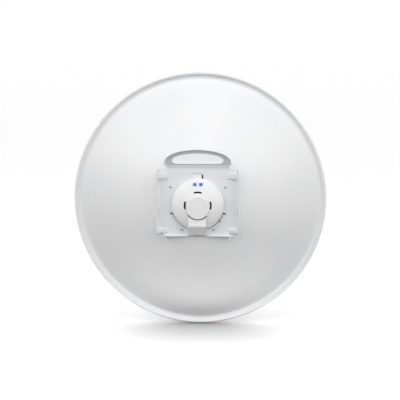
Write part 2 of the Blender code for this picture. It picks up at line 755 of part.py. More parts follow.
def led_block(width, height, y_low, y_high, corner=LED_CORNER, x=0.0):
    outline = box_outline(x - width / 2, x + width / 2, -height / 2, height / 2, corner)
    return prism(outline, facing_back, -y_high, -y_low)


def led_window(axis, window_finish, led_finish):
    width, height = LED_WINDOW_SIZE
    shape = led_block(width, height, -LED_WINDOW_THICKNESS, 0.0)
    item = finished("led_window", shape, window_finish, axis, led_place())
    hole = [length + 2 * GAP for length in LED_SIZE]
    for name, side in (("led_left", -1), ("led_right", 1)):
        x = side * LED_PITCH / 2
        cut = led_block(*hole, -LED_DEPTH, CLEAR, LED_CORNER, x)
        boolean(item, helper(name + "_hole", cut, axis, led_place()))
        lens = led_block(*LED_SIZE, GAP - LED_DEPTH, LED_RISE, LENS_CORNER, x)
        finished(name, lens, led_finish, axis, led_place())


def rear_disc(axis, finish):
    """The round disc on the dome's crown."""
    seat = crown_face() - GAP
    face = -DISC_FACE
    profile = [(0.0, seat), (DISC_FOOT_RADIUS, seat), (DISC_FOOT_RADIUS, seat - DISC_WALL)]
    profile += [(DISC_RADIUS, face + DISC_EDGE), (DISC_RADIUS - DISC_EDGE, face), (0.0, face)]
    place = Matrix.Translation((CAP_SHIFT, 0.0, -CROWN_SHIFT))
    return finished("rear_disc", turned(profile, TURNED_SIDES), finish, axis, place)


def crown_face():
    """How far back the dome's flat crown is."""
    return HOUSING_BASE - dome_height(0.0, HOUSING_RISE, HOUSING_RADIUS)


def port_cover(axis, finish):
    """The tongue below the disc, which clears it by a narrow moat."""
    outline = box_outline(-PORT_HALF, PORT_HALF, COVER_FOOT, PORT_TOP, COVER_CORNER, 2)
    shape = prism(outline, facing_back, -PORT_FACE, -PORT_FACE + COVER_THICKNESS)
    item = finished("port_cover", shape, finish, axis)
    radius = DISC_FOOT_RADIUS + DISC_MOAT
    rest = [(0.0, 0.0), (radius, 0.0), (radius, -PORT_FACE - CLEAR), (0.0, -PORT_FACE - CLEAR)]
    place = Matrix.Translation((CAP_SHIFT, 0.0, -CROWN_SHIFT))
    boolean(item, helper("disc_room", turned(rest, TURNED_SIDES), axis, place))
    return item


def cable_hood(axis, finish):
    """The scoop over the network port: a brow, a sloping underside and no floor."""
    seat = PLATE_REAR - GAP
    outer = [(HOUSING_BASE, HOOD_TOP), (HOUSING_BASE, HOOD_SEAT), (seat, HOOD_SEAT)]
    outer += [(seat, HOOD_FOOT), (-HOOD_FOOT_FACE, HOOD_FOOT), (-HOOD_FACE, HOOD_BROW)]
    outer += [(-HOOD_FACE, HOOD_TOP)]
    shape = prism(outer, across, -PORT_HALF, PORT_HALF)
    narrowed(shape, HOOD_FOOT_HALF / PORT_HALF)
    item = finished("cable_hood", shape, finish, axis)
    foot = HOOD_FOOT - CLEAR
    slope = (HOOD_FACE - HOOD_FOOT_FACE) / (HOOD_BROW - HOOD_FOOT)
    brow = HOOD_BROW - HOOD_WALL * 0.4
    inner_brow = -HOOD_FACE + HOOD_WALL
    inner_foot = inner_brow + slope * (brow - foot)
    top = HOOD_TOP + CLEAR
    room = [(CLEAR, top), (CLEAR, foot), (inner_foot, foot), (inner_brow, brow), (inner_brow, top)]
    inner = prism(room, across, HOOD_WALL - PORT_HALF, PORT_HALF - HOOD_WALL)
    narrowed(inner, (HOOD_FOOT_HALF - HOOD_WALL) / (PORT_HALF - HOOD_WALL))
    boolean(item, helper("hood_room", inner, axis))
    return item


def narrowed(shape, foot_scale):
    """Scales the width down from the brow to the foot."""
    for vert in shape.verts:
        part = min(max((HOOD_BROW - vert.co.z) / (HOOD_BROW - HOOD_FOOT), 0.0), 1.0)
        vert.co.x *= 1 + (foot_scale - 1) * part


def network_port(axis, finish):
    low = HOUSING_BASE - SOCKET_HEIGHT
    outline = box_outline(-SOCKET_HALF, SOCKET_HALF, low, HOUSING_BASE)
    shape = prism(outline, upright, SOCKET_FOOT, SOCKET_TOP)
    item = finished("network_port", shape, finish, axis)
    mouth = box_outline(-PLUG_HALF, PLUG_HALF, low + PLUG_FLOOR, HOUSING_BASE - PLUG_ROOF)
    room = prism(mouth, upright, SOCKET_FOOT - CLEAR, SOCKET_TOP - PLUG_STOP)
    boolean(item, helper("port_mouth", room, axis))
    return item


def radio_core(axis, finish):
    """The dark radio body that shows through the housing's slits."""
    seat = HOUSING_BASE
    face = seat - CORE_DEPTH
    profile = [(0.0, seat), (CORE_RADIUS, seat), (CORE_RADIUS, face), (0.0, face)]
    return finished("radio_core", turned(profile, TURNED_SIDES), finish, axis)


def feed_collar(axis, white, metal):
    """The collar that clamps the dish, with four screw heads on its front."""
    inner = TUBE_RADIUS + GAP
    rear = LAND_FRONT + GAP
    front = rear + COLLAR_THICKNESS
    profile = [(inner, rear), (COLLAR_RADIUS, rear), (COLLAR_RADIUS, front - COLLAR_SLOPE)]
    profile += [(COLLAR_RADIUS - COLLAR_SLOPE, front), (inner, front)]
    finished("feed_collar", turned(profile, TURNED_SIDES), white, axis)
    head = [(0.0, 0.0), (SCREW_HEAD_RADIUS, 0.0), (SCREW_HEAD_RADIUS, SCREW_HEAD_HEIGHT / 2)]
    head += [(SCREW_HEAD_RADIUS * 0.6, SCREW_HEAD_HEIGHT), (0.0, SCREW_HEAD_HEIGHT)]
    for number, angle in enumerate(COLLAR_SCREW_ANGLES, start=1):
        turn = math.radians(angle)
        x = COLLAR_SCREW_RADIUS * math.cos(turn)
        z = COLLAR_SCREW_RADIUS * math.sin(turn)
        place = Matrix.Translation((x, front + GAP, z))
        finished(f"collar_screw_{number}", turned(head, SMALL_SIDES), metal, axis, place)


def feed_tube(axis, white, grey):
    """The tube through the dish, and the band round it."""
    shoulder = TUBE_NOSE * 0.3
    tube = [(0.0, RING_REAR), (TUBE_RADIUS, RING_REAR), (TUBE_RADIUS, TUBE_END - TUBE_NOSE)]
    tube += [(TUBE_RADIUS - shoulder, TUBE_END - shoulder), (TUBE_RADIUS - TUBE_NOSE, TUBE_END)]
    tube += [(0.0, TUBE_END)]
    finished("feed_tube", turned(tube, TURNED_SIDES), white, axis)
    inner = TUBE_RADIUS + GAP
    outer = inner + BAND_THICKNESS
    stop = BAND_START + BAND_LENGTH
    band = [(inner, BAND_START), (outer - BAND_EDGE, BAND_START), (outer, BAND_START + BAND_EDGE)]
    band += [(outer, stop - BAND_EDGE), (outer - BAND_EDGE, stop), (inner, stop)]
    finished("feed_band", turned(band, TURNED_SIDES), grey, axis)


def feed_head(axis, white, metal):
    """The neck on the tube's end, the small metal reflector and its cap."""
    start = TUBE_END + GAP
    stop = start + NECK_LENGTH
    neck = [(0.0, start), (NECK_RADIUS, start), (NECK_WAIST, start + NECK_FOOT)]
    neck += [(NECK_WAIST, stop - NECK_HEAD), (NECK_FLARE, stop), (0.0, stop)]
    finished("feed_neck", turned(neck, TURNED_SIDES), white, axis)
    start = stop + GAP
    stop = start + SUB_REFLECTOR_THICKNESS
    plate = [(0.0, start), (SUB_REFLECTOR_RADIUS, start), (SUB_REFLECTOR_RADIUS, stop), (0.0, stop)]
    finished("sub_reflector", turned(plate, TURNED_SIDES), metal, axis)
    start = stop + GAP
    stop = start + CAP_LENGTH
    cap = [(0.0, start), (CAP_RADIUS, start), (CAP_RADIUS, start + CAP_SKIRT)]
    cap += arc((CAP_RADIUS - CAP_ROUND, stop - CAP_ROUND), CAP_ROUND, 0, 90, 4) + [(0.0, stop)]
    finished("feed_cap", turned(cap, TURNED_SIDES), white, axis)


def main():
    clear_scene()
    axis = dish_axis()
    powder_white = material("powder_white", (0.86, 0.86, 0.87), 0.45)
    plate_white = material("plate_white", (0.83, 0.84, 0.85), 0.42)
    plastic_white = material("plastic_white", (0.85, 0.85, 0.85), 0.38)
    lens_white = material("lens_white", (0.90, 0.92, 0.96), 0.20)
    led_blue = material("led_blue", (0.06, 0.14, 0.55), 0.20)
    dark_core = material("dark_core", (0.03, 0.03, 0.035), 0.55)
    bare_metal = material("bare_metal", (0.62, 0.63, 0.64), 0.35, 1.0)
    band_grey = material("band_grey", (0.62, 0.64, 0.66), 0.40)
    reflector(axis, powder_white)
    back_plate(axis, plate_white)
    plate_rivets(axis, plate_white)
    bayonet_ring(axis, plastic_white)
    rear_housing(axis, plastic_white)
    led_window(axis, lens_white, led_blue)
    rear_disc(axis, plastic_white)
    port_cover(axis, plastic_white)
    cable_hood(axis, plastic_white)
    network_port(axis, dark_core)
    radio_core(axis, dark_core)
    feed_collar(axis, plastic_white, bare_metal)
    feed_tube(axis, plastic_white, band_grey)
    feed_head(axis, plastic_white, bare_metal)


main()
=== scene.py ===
"""Looks for the dish antenna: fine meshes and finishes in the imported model's frame.

Shapes are modelled round the dish's axis, z up from it, and moved down to the row frame when a
piece is made: x to the right as seen from behind, y forward from the back plate's rear face.
"""

from math import acos, atan, atan2, copysign, cos, degrees, hypot, pi, radians, sin, sqrt

import bmesh
import bpy
from mathutils import Matrix, Vector
from mathutils.geometry import delaunay_2d_cdt


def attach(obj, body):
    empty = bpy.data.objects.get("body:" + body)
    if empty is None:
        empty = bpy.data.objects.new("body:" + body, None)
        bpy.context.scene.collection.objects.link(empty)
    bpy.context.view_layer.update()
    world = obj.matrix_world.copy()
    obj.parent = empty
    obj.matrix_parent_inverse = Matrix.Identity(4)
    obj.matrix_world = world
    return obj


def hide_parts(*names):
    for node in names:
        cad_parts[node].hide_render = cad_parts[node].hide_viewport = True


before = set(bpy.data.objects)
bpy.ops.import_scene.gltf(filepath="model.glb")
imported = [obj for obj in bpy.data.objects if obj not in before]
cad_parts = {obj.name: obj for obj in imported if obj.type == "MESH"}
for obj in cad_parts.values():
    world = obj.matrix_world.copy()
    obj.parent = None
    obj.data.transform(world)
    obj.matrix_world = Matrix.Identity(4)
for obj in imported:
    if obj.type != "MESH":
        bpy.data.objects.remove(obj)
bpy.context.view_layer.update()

# Sizes in metres, and a few angles and shares. Most are the CAD's, and some follow the photograph
# more closely.
ORIGIN_ABOVE_AXIS = 0.0662
GAP = 0.0003
RIM_RADIUS = 0.2598
FOCAL_LENGTH = 0.135
LAND_RADIUS = 0.070
LAND_BLEND = 0.006
DISH_HOLE_RADIUS = 0.047
DISH_SHEET = 0.0014
GUTTER_START = 0.2440
GUTTER_FALL = radians(50)
GUTTER_ARC = 0.0110
GUTTER_STRAIGHT = 0.0022
BEAD_RADIUS = 0.0024
BEAD_SET_BACK = 0.0005
PLATE_SHEET = 0.0020
PLATE_HALF_WIDTH = 0.0818
PLATE_TOP = 0.0688
PLATE_BOTTOM = -0.0638
FLANGE_DEPTH = 0.0130
FLANGE_BEND = 0.0030
FOOT_BEND = 0.0012
FOOT_DEPTH = 0.0050
SIDE_FLANGE_ANGLE = radians(72)
SIDE_FLANGE_FOOT = -0.0585
BOTTOM_FLANGE_HALF = 0.0722
CABLE_NOTCH_HALF = 0.0195
CORNER_RELIEF_Z = -0.0560
CORNER_RELIEF_STEP = 0.0004
FLANGE_CORNER = 0.0040
FLANGE_NICK = 0.0020
NECK_HALF = 0.0620
NECK_FILLET = 0.0050
EAR_FOOT = 0.0790
EAR_SLIT = 0.0008
HANDLE_BEND_START = 0.0695
HANDLE_BEND_RADIUS = 0.0230
HANDLE_TILT = radians(30)
HANDLE_HALF = 0.0592
HANDLE_SHOULDER = 0.0862
HANDLE_RISE = 0.0242
SLOT_HALF = 0.0504
SLOT_FOOT = 0.0819
SLOT_CORNER = 0.0080
SLOT_TOP = 0.1063
HOOK_TOP = -0.0081
HOOK_SLIT = 0.0010
HOOK_FOOT = -0.0235
HOOK_RETURN = 0.0045
HOOK_OUT = 0.0020
HOOK_ROOT = 0.0020
PLATE_HOLE_RADIUS = 0.0470
ARC_WINDOW_RADIUS = 0.0534
LOCK_WINDOW = (-0.0096, 0.0080, 0.0626)
LOCK_SIGHT = (0.0078, 0.0107, 0.0590)
LOCK_SIGHT_FOOT = 0.0485
NOTCHES = ((198.0, 200.8, 0.0600), (320.8, 323.4, 0.0568), (339.2, 342.0, 0.0600))
SIGHT_INNER = 0.0505
SIGHT_SET_IN = 0.0002
SIGHT_FLOOR = 0.0010
RIVET_PLACES = ((-0.0547, 0.0329), (0.0547, 0.0329), (-0.0315, -0.0524), (0.0315, -0.0524))
RIVET_HOLE_RADIUS = 0.0028
RIVET_RADIUS = 0.0020
RIVET_DROP = 0.0006
RIVET_HEIGHT = 0.0019
RIVET_CROWN = 0.0004
RIVET_CUP = (0.4, 0.3)
# Thickness of the dark disc of painted shade under each rivet head.
RIVET_SHADE_DISC = 0.0003
GUSSETS = ((0.0568, 0.0074), (-0.0525, 0.0058))
GUSSET_ON_PLATE = 0.0180
PLATE_REAR = 0.0003
RING_THICKNESS = 0.0027
RING_RADIUS = 0.0510
LUG_INNER = 0.0440
LUG_RADIUS = 0.0505
LUG_ROOT = 0.0010
LUG_DEPTH = 0.0018
LUG_SPANS = ((202, 244), (296, 338))
LOCK_TAB = (-0.0092, 0.0076, 0.0610)
LOCK_TAB_CORNER = 0.0012
LOCK_TAB_SET_IN = 0.0001
HOUSING_RADIUS = 0.0522
HOUSING_RISE = 0.0190
HOUSING_POWER = 1.8
HOUSING_WALL = 0.0022
CROWN_RADIUS = 0.0240
CROWN_DROP = 0.0057
SLIT_RADIUS = 0.0258
SLIT_HALF_TURN = 17
SLIT_WIDTH = 0.0034
CAP_SHIFT = 0.0006
DISC_FOOT_RADIUS = 0.0232
DISC_RADIUS = 0.0224
DISC_FACE = 0.0228
DISC_WALL = 0.0018
DISC_MOAT = 0.0017
PORT_HALF = 0.0180
PORT_TOP = -0.0190
PORT_FACE = 0.0220
COVER_FOOT = -0.0386
COVER_CORNER = 0.0012
COVER_THICKNESS = 0.0040
HOOD_TOP = -0.0389
HOOD_BROW = -0.0418
HOOD_FOOT = -0.0602
HOOD_FACE = 0.0244
HOOD_FOOT_FACE = 0.0100
HOOD_FOOT_HALF = 0.0160
HOOD_WALL = 0.0020
HOOD_SEAT = -0.0525
SOCKET_HALF = 0.0080
SOCKET_TOP = -0.0310
SOCKET_FOOT = -0.0445
SOCKET_HEIGHT = 0.0100
PLUG_HALF = 0.0061
PLUG_FLOOR = 0.0016
PLUG_ROOF = 0.0018
PLUG_STOP = 0.0025
CORE_RADIUS = 0.0292
CORE_DEPTH = 0.0090
LED_WINDOW_HEIGHT = 0.0409
LED_WINDOW_SIZE = (0.0215, 0.0084)
LED_SIZE = (0.0064, 0.0055)
LED_PITCH = 0.0116
LED_POCKET = 0.0060
LED_CORNER = 0.0014
TUBE_RADIUS = 0.0400
TUBE_END = 0.1120
TUBE_NOSE = 0.0060
COLLAR_RADIUS = 0.0610
COLLAR_THICKNESS = 0.0060
COLLAR_SLOPE = 0.0030
COLLAR_SCREW_RADIUS = 0.0530
COLLAR_SCREW_ANGLES = (45, 135, 225, 315)
SCREW_HEAD_RADIUS = 0.0038
SCREW_HEAD_HEIGHT = 0.0024
BAND_START = 0.0800
BAND_LENGTH = 0.0120
BAND_THICKNESS = 0.0018
NECK_RADIUS = 0.0300
NECK_WAIST = 0.0258
NECK_FLARE = 0.0330
NECK_LENGTH = 0.0140
NECK_FOOT = 0.0040
NECK_HEAD = 0.0030
NECK_ROUND = 0.0010
SUB_REFLECTOR_RADIUS = 0.0450
SUB_REFLECTOR_THICKNESS = 0.0020
CAP_RADIUS = 0.0460
CAP_LENGTH = 0.0130
CAP_SKIRT = 0.0040
CAP_ROUND = 0.0090
CLEAR = 0.0040

# The plate's opening: where each stretch starts and ends, in degrees, and how far out it is.
OPENING_SPANS = (NOTCHES[0], (200.8, 248.0, ARC_WINDOW_RADIUS), (248.0, 292.0, PLATE_HOLE_RADIUS),
                 (292.0, 320.8, ARC_WINDOW_RADIUS), NOTCHES[1], (323.4, 339.2, ARC_WINDOW_RADIUS),
                 NOTCHES[2])
OPENING_STEP = 1.0

PLATE_MIDDLE = PLATE_REAR + PLATE_SHEET / 2
LAND_REAR = PLATE_REAR + PLATE_SHEET + GAP
LAND_FRONT = LAND_REAR + DISH_SHEET
RING_FRONT = PLATE_REAR - GAP
RING_REAR = RING_FRONT - RING_THICKNESS
HOUSING_BASE = RING_REAR - GAP
SIDE_ARC = FLANGE_BEND * SIDE_FLANGE_ANGLE
SIDE_DEPTH = FLANGE_DEPTH + PLATE_SHEET / 2 - FLANGE_BEND * (1 - cos(SIDE_FLANGE_ANGLE))
SIDE_RUN = SIDE_DEPTH / sin(SIDE_FLANGE_ANGLE)
SIDE_REACH = (PLATE_SHEET / 2 + FLANGE_BEND) * sin(SIDE_FLANGE_ANGLE)
SIDE_FLAT = PLATE_HALF_WIDTH - SIDE_REACH - SIDE_RUN * cos(SIDE_FLANGE_ANGLE)
SIDE_END = SIDE_FLAT + SIDE_ARC + SIDE_RUN
FOOT_ARC = FOOT_BEND * pi / 2
FOOT_FLAT = PLATE_BOTTOM + PLATE_SHEET / 2 + FOOT_BEND
FOOT_END = FOOT_FLAT - FOOT_ARC - (FOOT_DEPTH + PLATE_SHEET / 2 - FOOT_BEND)
HOOK_INNER = SIDE_FLAT + SIDE_ARC + HOOK_ROOT + HOOK_SLIT
CROWN_SHIFT = CROWN_DROP * (1 - (CROWN_RADIUS / HOUSING_RADIUS) ** 2)

# Sizes of the finer forms that only the looks have, in metres, and numbers of steps.
DISH_SIDES = 288
DISH_ROWS = 40
BLEND_ROWS = 7
GUTTER_STEPS = 14
TURNED_SIDES = 128
DOME_SIDES = 192
CROWN_SIDES = 160
DOME_ROWS = 36
EDGE_ROUND = 0.0004
SHEET_ROUND = 0.0003
LIP_STEP = 0.00135
LIP_ANGLES = tuple(radians(a) for a in (5, 14, 24, 33, 42, 50))
LIP_SIDES = 48
BEND_STEPS = 6
GUSSET_ON_FLANGE = 0.0066
GUSSET_GRID = (32, 24)
GUSSET_MARGIN = 0.0004
DISC_ROUND = 0.0010
DISC_DISH = 0.0002
FINE_ROUND = 0.0002
LENS_ROUND = 0.0005
LENS_PROUD = 0.0001
LENS_THICKNESS = 0.0010
LENS_SEAT = 0.0012
LED_WINDOW_THICKNESS = 0.0026
LAMP_LIFT = 0.0010
SLIT_MOUTH = 0.0018
SLIT_THROAT = 0.0006
SLIT_LIFT = 0.0030
BEAD_TURN = 140
GROOVE_HALF = 0.0006
GROOVE_FLOOR_HALF = GROOVE_HALF * 0.7
SIDE_GROOVE_DEPTH = 0.0005
COLLAR_GROOVE = (0.0455, 0.0008)
CORE_GROOVES = (0.0240, 0.0160, 0.0080)
CORE_GROOVE_DEPTH = 0.0008
CAP_GROOVE = (0.0300, 0.0006)
TUBE_GROOVE = 0.0260
BAND_GROOVES = (0.25, 0.5, 0.75)

# Shares of a collar screw's head: its side's height, its top's radius, and its socket's radius
# and floor.
SCREW_SHAPE = (0.45, 0.6, 0.45, 0.4)


# Finishes.

NOISE_RANGE = (0.3, 0.7)
CLOUD = (9.0, 4.0, 0.6)
GLOSS_CLOUD = (60.0, 3.0)
GRAIN_STRENGTH = 0.6
FINE_STRENGTH = 0.5
POWDER_GRAIN = ((420.0, 0.00003), (1500.0, 0.000025))
MOULDED_GRAIN = ((900.0, 0.000015), (3200.0, 0.00002))

# Coated finishes: two close tones, the roughness range, the grain and the specular level.
COATS = {
    "powder_white": ((0.775, 0.78, 0.79), (0.80, 0.80, 0.805), (0.40, 0.50), POWDER_GRAIN, 0.5),
    "plate_white": ((0.74, 0.755, 0.775), (0.77, 0.78, 0.795), (0.40, 0.50), POWDER_GRAIN, 0.5),
    "plastic_white": ((0.79, 0.79, 0.795), (0.815, 0.815, 0.82), (0.42, 0.52), MOULDED_GRAIN, 0.5),
    "dark_core": ((0.010, 0.010, 0.011), (0.016, 0.016, 0.018), (0.60, 0.75), MOULDED_GRAIN, 0.3),
    "band_grey": ((0.56, 0.58, 0.60), (0.62, 0.64, 0.66), (0.45, 0.6), MOULDED_GRAIN, 0.5),
}

# Lamp finishes: the colour and the glow near a lamp and away from it, the roughness, and how far
# from the lamp they fade.
GLOWS = {
    "led_blue": (((0.05, 0.10, 0.26), (0.07, 0.13, 0.32)),
                 ((0.015, 0.035, 0.10), (0.02, 0.045, 0.13)), 0.25, 0.004),
    # The light window is no lamp: its blue tone and glow near each lamp are painted lamp light.
    "lens_white": (((0.05, 0.30, 0.82), (0.84, 0.86, 0.88)),
                   ((0.0, 0.04, 0.24), (0.0, 0.0, 0.0)), 0.4, 0.0062),
}
METAL_TONES = ((0.5676, 0.5762, 0.5848), (0.66, 0.67, 0.68))
METAL_GLOSS = (0.224, 0.364)
METAL_RINGS = (900.0, 3.0)


def new_material(name):
    """An empty node material: its tree, its shader and its object coordinates."""
    made = bpy.data.materials.new(name)
    made.use_nodes = True
    tree = made.node_tree
    shader = tree.nodes["Principled BSDF"]
    place = tree.nodes.new("ShaderNodeTexCoord").outputs["Object"]
    return made, tree, shader, place


def fill(tree, node, settings):
    """Gives a node's inputs their values, or links them to outputs."""
    for name, value in settings.items():
        if isinstance(value, bpy.types.NodeSocket):
            tree.links.new(value, node.inputs[name])
        else:
            node.inputs[name].default_value = value
    return node


def add_node(tree, kind, settings, operation=None):
    """A new shader node with its inputs filled."""
    made = tree.nodes.new("ShaderNode" + kind)
    if operation is not None:
        made.operation = operation
    return fill(tree, made, settings)


def noise(tree, place, scale, detail=2.0, roughness=0.5):
    settings = {"Vector": place, "Scale": scale, "Detail": detail, "Roughness": roughness}
    return add_node(tree, "TexNoise", settings).outputs["Fac"]


def ramp(tree, value, low, high, span=NOISE_RANGE):
    """Colours from low to high as a value crosses the span."""
    made = add_node(tree, "ValToRGB", {"Fac": value})
    for element, position, colour in zip(made.color_ramp.elements, span, (low, high)):
        element.position = position
        element.color = (*colour, 1.0)
    return made.outputs["Color"]


def spread(tree, value, low, high):
    """A number from low to high as a noise value crosses its usual range."""
    start, end = NOISE_RANGE
    settings = {"Value": value, "From Min": start, "From Max": end, "To Min": low, "To Max": high}
    return add_node(tree, "MapRange", settings).outputs["Result"]


def bump(tree, shader, height, depth, strength, before=None):
    settings = {"Height": height, "Distance": depth, "Strength": strength}
    if before is not None:
        settings["Normal"] = before
    normal = add_node(tree, "Bump", settings).outputs["Normal"]
    fill(tree, shader, {"Normal": normal})
    return normal


def coated(name, low, high, gloss, grains, specular):
    """A painted or moulded surface: two close tones, a varying gloss and layers of grain."""
    made, tree, shader, place = new_material(name)
    fill(tree, shader, {"Base Color": ramp(tree, noise(tree, place, *CLOUD), low, high),
                        "Roughness": spread(tree, noise(tree, place, *GLOSS_CLOUD), *gloss),
                        "Specular IOR Level": specular})
    normal = None
    for scale, depth in grains:
        normal = bump(tree, shader, noise(tree, place, scale), depth, GRAIN_STRENGTH, normal)
    return made


def brushed(name, low, high, gloss, centre_z):
    """Metal with fine rings turned round the dish's axis."""
    made, tree, shader, place = new_material(name)
    offset = add_node(tree, "VectorMath", {0: place, 1: (1.0, 0.0, 1.0), 2: (0.0, 0.0, -centre_z)},
                      "MULTIPLY_ADD")
    length = add_node(tree, "VectorMath", {0: offset.outputs["Vector"]}, "LENGTH")
    join = add_node(tree, "CombineXYZ", {"X": length.outputs["Value"]})
    rings = noise(tree, join.outputs["Vector"], *METAL_RINGS)
    fill(tree, shader, {"Base Color": ramp(tree, rings, low, high), "Metallic": 1.0,
                        "Roughness": spread(tree, rings, *gloss)})
    bump(tree, shader, rings, 0.00003, FINE_STRENGTH)
    return made


def lamp_glow(name, base, glow, roughness, reach, centres):
    """A clear lens whose blue light, painted into its colour and glow, fades with the distance from
    the nearest lamp.
    """
    made, tree, shader, place = new_material(name)
    distances = [add_node(tree, "VectorMath", {0: place, 1: centre}, "DISTANCE").outputs["Value"]
                 for centre in centres]
    nearest = add_node(tree, "Math", dict(enumerate(distances)), "MINIMUM").outputs["Value"]
    fade = add_node(tree, "MapRange", {"Value": nearest, "From Max": reach}).outputs["Result"]
    fill(tree, shader, {"Base Color": ramp(tree, fade, *base, (0.0, 1.0)),
                        "Emission Color": ramp(tree, fade, *glow, (0.0, 1.0)),
                        "Emission Strength": 1.0, "Roughness": roughness})
    bump(tree, shader, noise(tree, place, 1800.0), 0.00002, FINE_STRENGTH)
    return made


def finishes():
    """Every finish, by the record's slot."""
    made = {name: coated(name, *values) for name, values in COATS.items()}
    made["bare_metal"] = brushed("bare_metal", *METAL_TONES, METAL_GLOSS, -ORIGIN_ABOVE_AXIS)
    lamps = [led_place() @ Vector((x, -LAMP_LIFT, 0.0)) for x in (-LED_PITCH / 2, LED_PITCH / 2)]
    lamps = [(p.x, p.y, p.z - ORIGIN_ABOVE_AXIS) for p in lamps]
    for name, values in GLOWS.items():
        made[name] = lamp_glow(name, *values, lamps)
    return made


# Mesh tools.

def as_mesh(name, shape):
    """A bmesh becomes a mesh whose faces are all turned the same way."""
    bmesh.ops.recalc_face_normals(shape, faces=shape.faces)
    mesh = bpy.data.meshes.new(name)
    shape.to_mesh(mesh)
    shape.free()
    return mesh


def linked(name, data):
    """A new object in the scene."""
    item = bpy.data.objects.new(name, data)
    bpy.context.scene.collection.objects.link(item)
    return item


def lowered(name, shape):
    """A bmesh round the dish's axis becomes an object in the row frame."""
    mesh = as_mesh(name, shape)
    mesh.transform(Matrix.Translation((0.0, 0.0, -ORIGIN_ABOVE_AXIS)))
    return linked(name, mesh)


def crisp(item, angle=38):
    """Makes the edges over an angle sharp."""
    item.data.set_sharp_from_angle(angle=radians(angle))


def settle(name, shape, slot_name, replaced):
    """A bmesh round the dish's axis becomes a piece that stands for CAD nodes."""
    item = lowered(name, shape)
    item.data.materials.append(FINISHES[slot_name])
    item.data.shade_smooth()
    crisp(item)
    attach(item, "root")
    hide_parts(*replaced)
    return item


def apply_changes(item):
    """Bakes the modifiers into the mesh."""
    graph = bpy.context.evaluated_depsgraph_get()
    done = bpy.data.meshes.new_from_object(item.evaluated_get(graph), depsgraph=graph)
    item.modifiers.clear()
    old = item.data
    done.name = old.name
    item.data = done
    bpy.data.meshes.remove(old)


def cut(item, shape, operation="DIFFERENCE"):
    """Takes a solid away from a piece, or adds it."""
    helper = lowered(item.name + "_cut", shape)
    change = item.modifiers.new("cut", "BOOLEAN")
    change.operation = operation
    change.solver = "EXACT"
    change.object = helper
    apply_changes(item)
    bpy.data.objects.remove(helper)


def softened(item, width=SHEET_ROUND, steps=2, angle=50):
    """Rounds the edges over an angle, and evens the shading on the flats beside them."""
    change = item.modifiers.new("edges", "BEVEL")
    change.width = width
    change.segments = steps
    change.limit_method = "ANGLE"
    change.angle_limit = radians(angle)
    change.use_clamp_overlap = False
    apply_changes(item)
    item.data.shade_smooth()
    crisp(item, 45)
    change = item.modifiers.new("shading", "WEIGHTED_NORMAL")
    change.keep_sharp = True
    change.weight = 80


def turned(profile, sides=TURNED_SIDES, centre=(0.0, 0.0)):
    """A closed solid turned round Y from (radius, y) points in order round the section."""
    shape = bmesh.new()
    rings = []
    turns = [2 * pi * step / sides for step in range(sides)]
    for radius, y in profile:
        count = 1 if radius == 0 else sides
        ring = [shape.verts.new((centre[0] + radius * cos(a), y,
                                 centre[1] + radius * sin(a))) for a in turns[:count]]
        rings.append(ring)
    for near, far in zip(rings, rings[1:] + rings[:1]):
        if len(near) == len(far) == 1:
            continue
        for step in range(sides):
            after = (step + 1) % sides
            corners = [ring[turn % len(ring)] for ring, turn in
                       ((near, step), (far, step), (far, after), (near, after))]
            shape.faces.new(tuple(dict.fromkeys(corners)))
    return shape


def rounded(profile, radius=EDGE_ROUND, steps=4):
    """The same profile with its sharp corners rounded; points on the axis stay."""
    made = []
    count = len(profile)
    for index, point in enumerate(profile):
        here = Vector(point)
        into = here - Vector(profile[index - 1])
        out = Vector(profile[(index + 1) % count]) - here
        if here.x == 0 or into.angle(out) < radians(25):
            made.append(point)
            continue
        reach = min(radius, into.length * 0.45, out.length * 0.45)
        start = here - into.normalized() * reach
        end = here + out.normalized() * reach
        for step in range(steps + 1):
            t = step / steps
            made.append(tuple(start * (1 - t) ** 2 + here * 2 * t * (1 - t) + end * t**2))
    return made


# Where a point of a flat outline lies, for a prism that faces back, lies across or stands up.

def facing_back(x, z, y):
    return (x, y, z)


def across(y, z, x):
    return (x, y, z)


def upright(x, y, z):
    return (x, y, z)


def prism(outline, low, high, place=facing_back):
    """A closed solid from a flat outline, with place(a, b, t) giving each end's points."""
    shape = bmesh.new()
    ends = [[shape.verts.new(place(a, b, t)) for a, b in outline] for t in (low, high)]
    shape.faces.new(ends[0])
    shape.faces.new(reversed(ends[1]))
    count = len(outline)
    for step in range(count):
        after = (step + 1) % count
        shape.faces.new((ends[0][step], ends[0][after], ends[1][after], ends[1][step]))
    return shape


def joined(shapes):
    """One bmesh that holds several closed solids."""
    whole = bmesh.new()
    for shape in shapes:
        mesh = as_mesh("piece", shape)
        whole.from_mesh(mesh)
        bpy.data.meshes.remove(mesh)
    return whole


def arc(centre, radius, start, end, steps):
    """Points of a circular arc, angles in degrees."""
    turns = [radians(start + (end - start) * step / steps) for step in range(steps + 1)]
    return [(centre[0] + radius * cos(a), centre[1] + radius * sin(a)) for a in turns]


def box_outline(x_low, x_high, z_low, z_high, corner=0.0, steps=4):
    if corner == 0.0:
        return [(x_low, z_low), (x_high, z_low), (x_high, z_high), (x_low, z_high)]
    points = []
    for x, z, turn in ((x_high - corner, z_low + corner, -90), (x_high - corner, z_high - corner, 0),
                       (x_low + corner, z_high - corner, 90), (x_low + corner, z_low + corner, 180)):
        points += arc((x, z), corner, turn, turn + 90, steps)
    return points


def sector(inner, outer, start, end, y_low, y_high, steps=12):
    outline = arc((0.0, 0.0), outer, start, end, steps) + arc((0.0, 0.0), inner, end, start, steps)
    return prism(outline, y_low, y_high)


def offset_line(points, distance):
    """The same line moved sideways by distance, to the left of its direction."""
    moved = []
    for index, (r, y) in enumerate(points):
        before = points[max(index - 1, 0)]
        after = points[min(index + 1, len(points) - 1)]
        dr = after[0] - before[0]
        dy = after[1] - before[1]
        length = hypot(dr, dy)
        moved.append((r - distance * dy / length, y + distance * dr / length))
    return moved


# The reflector.

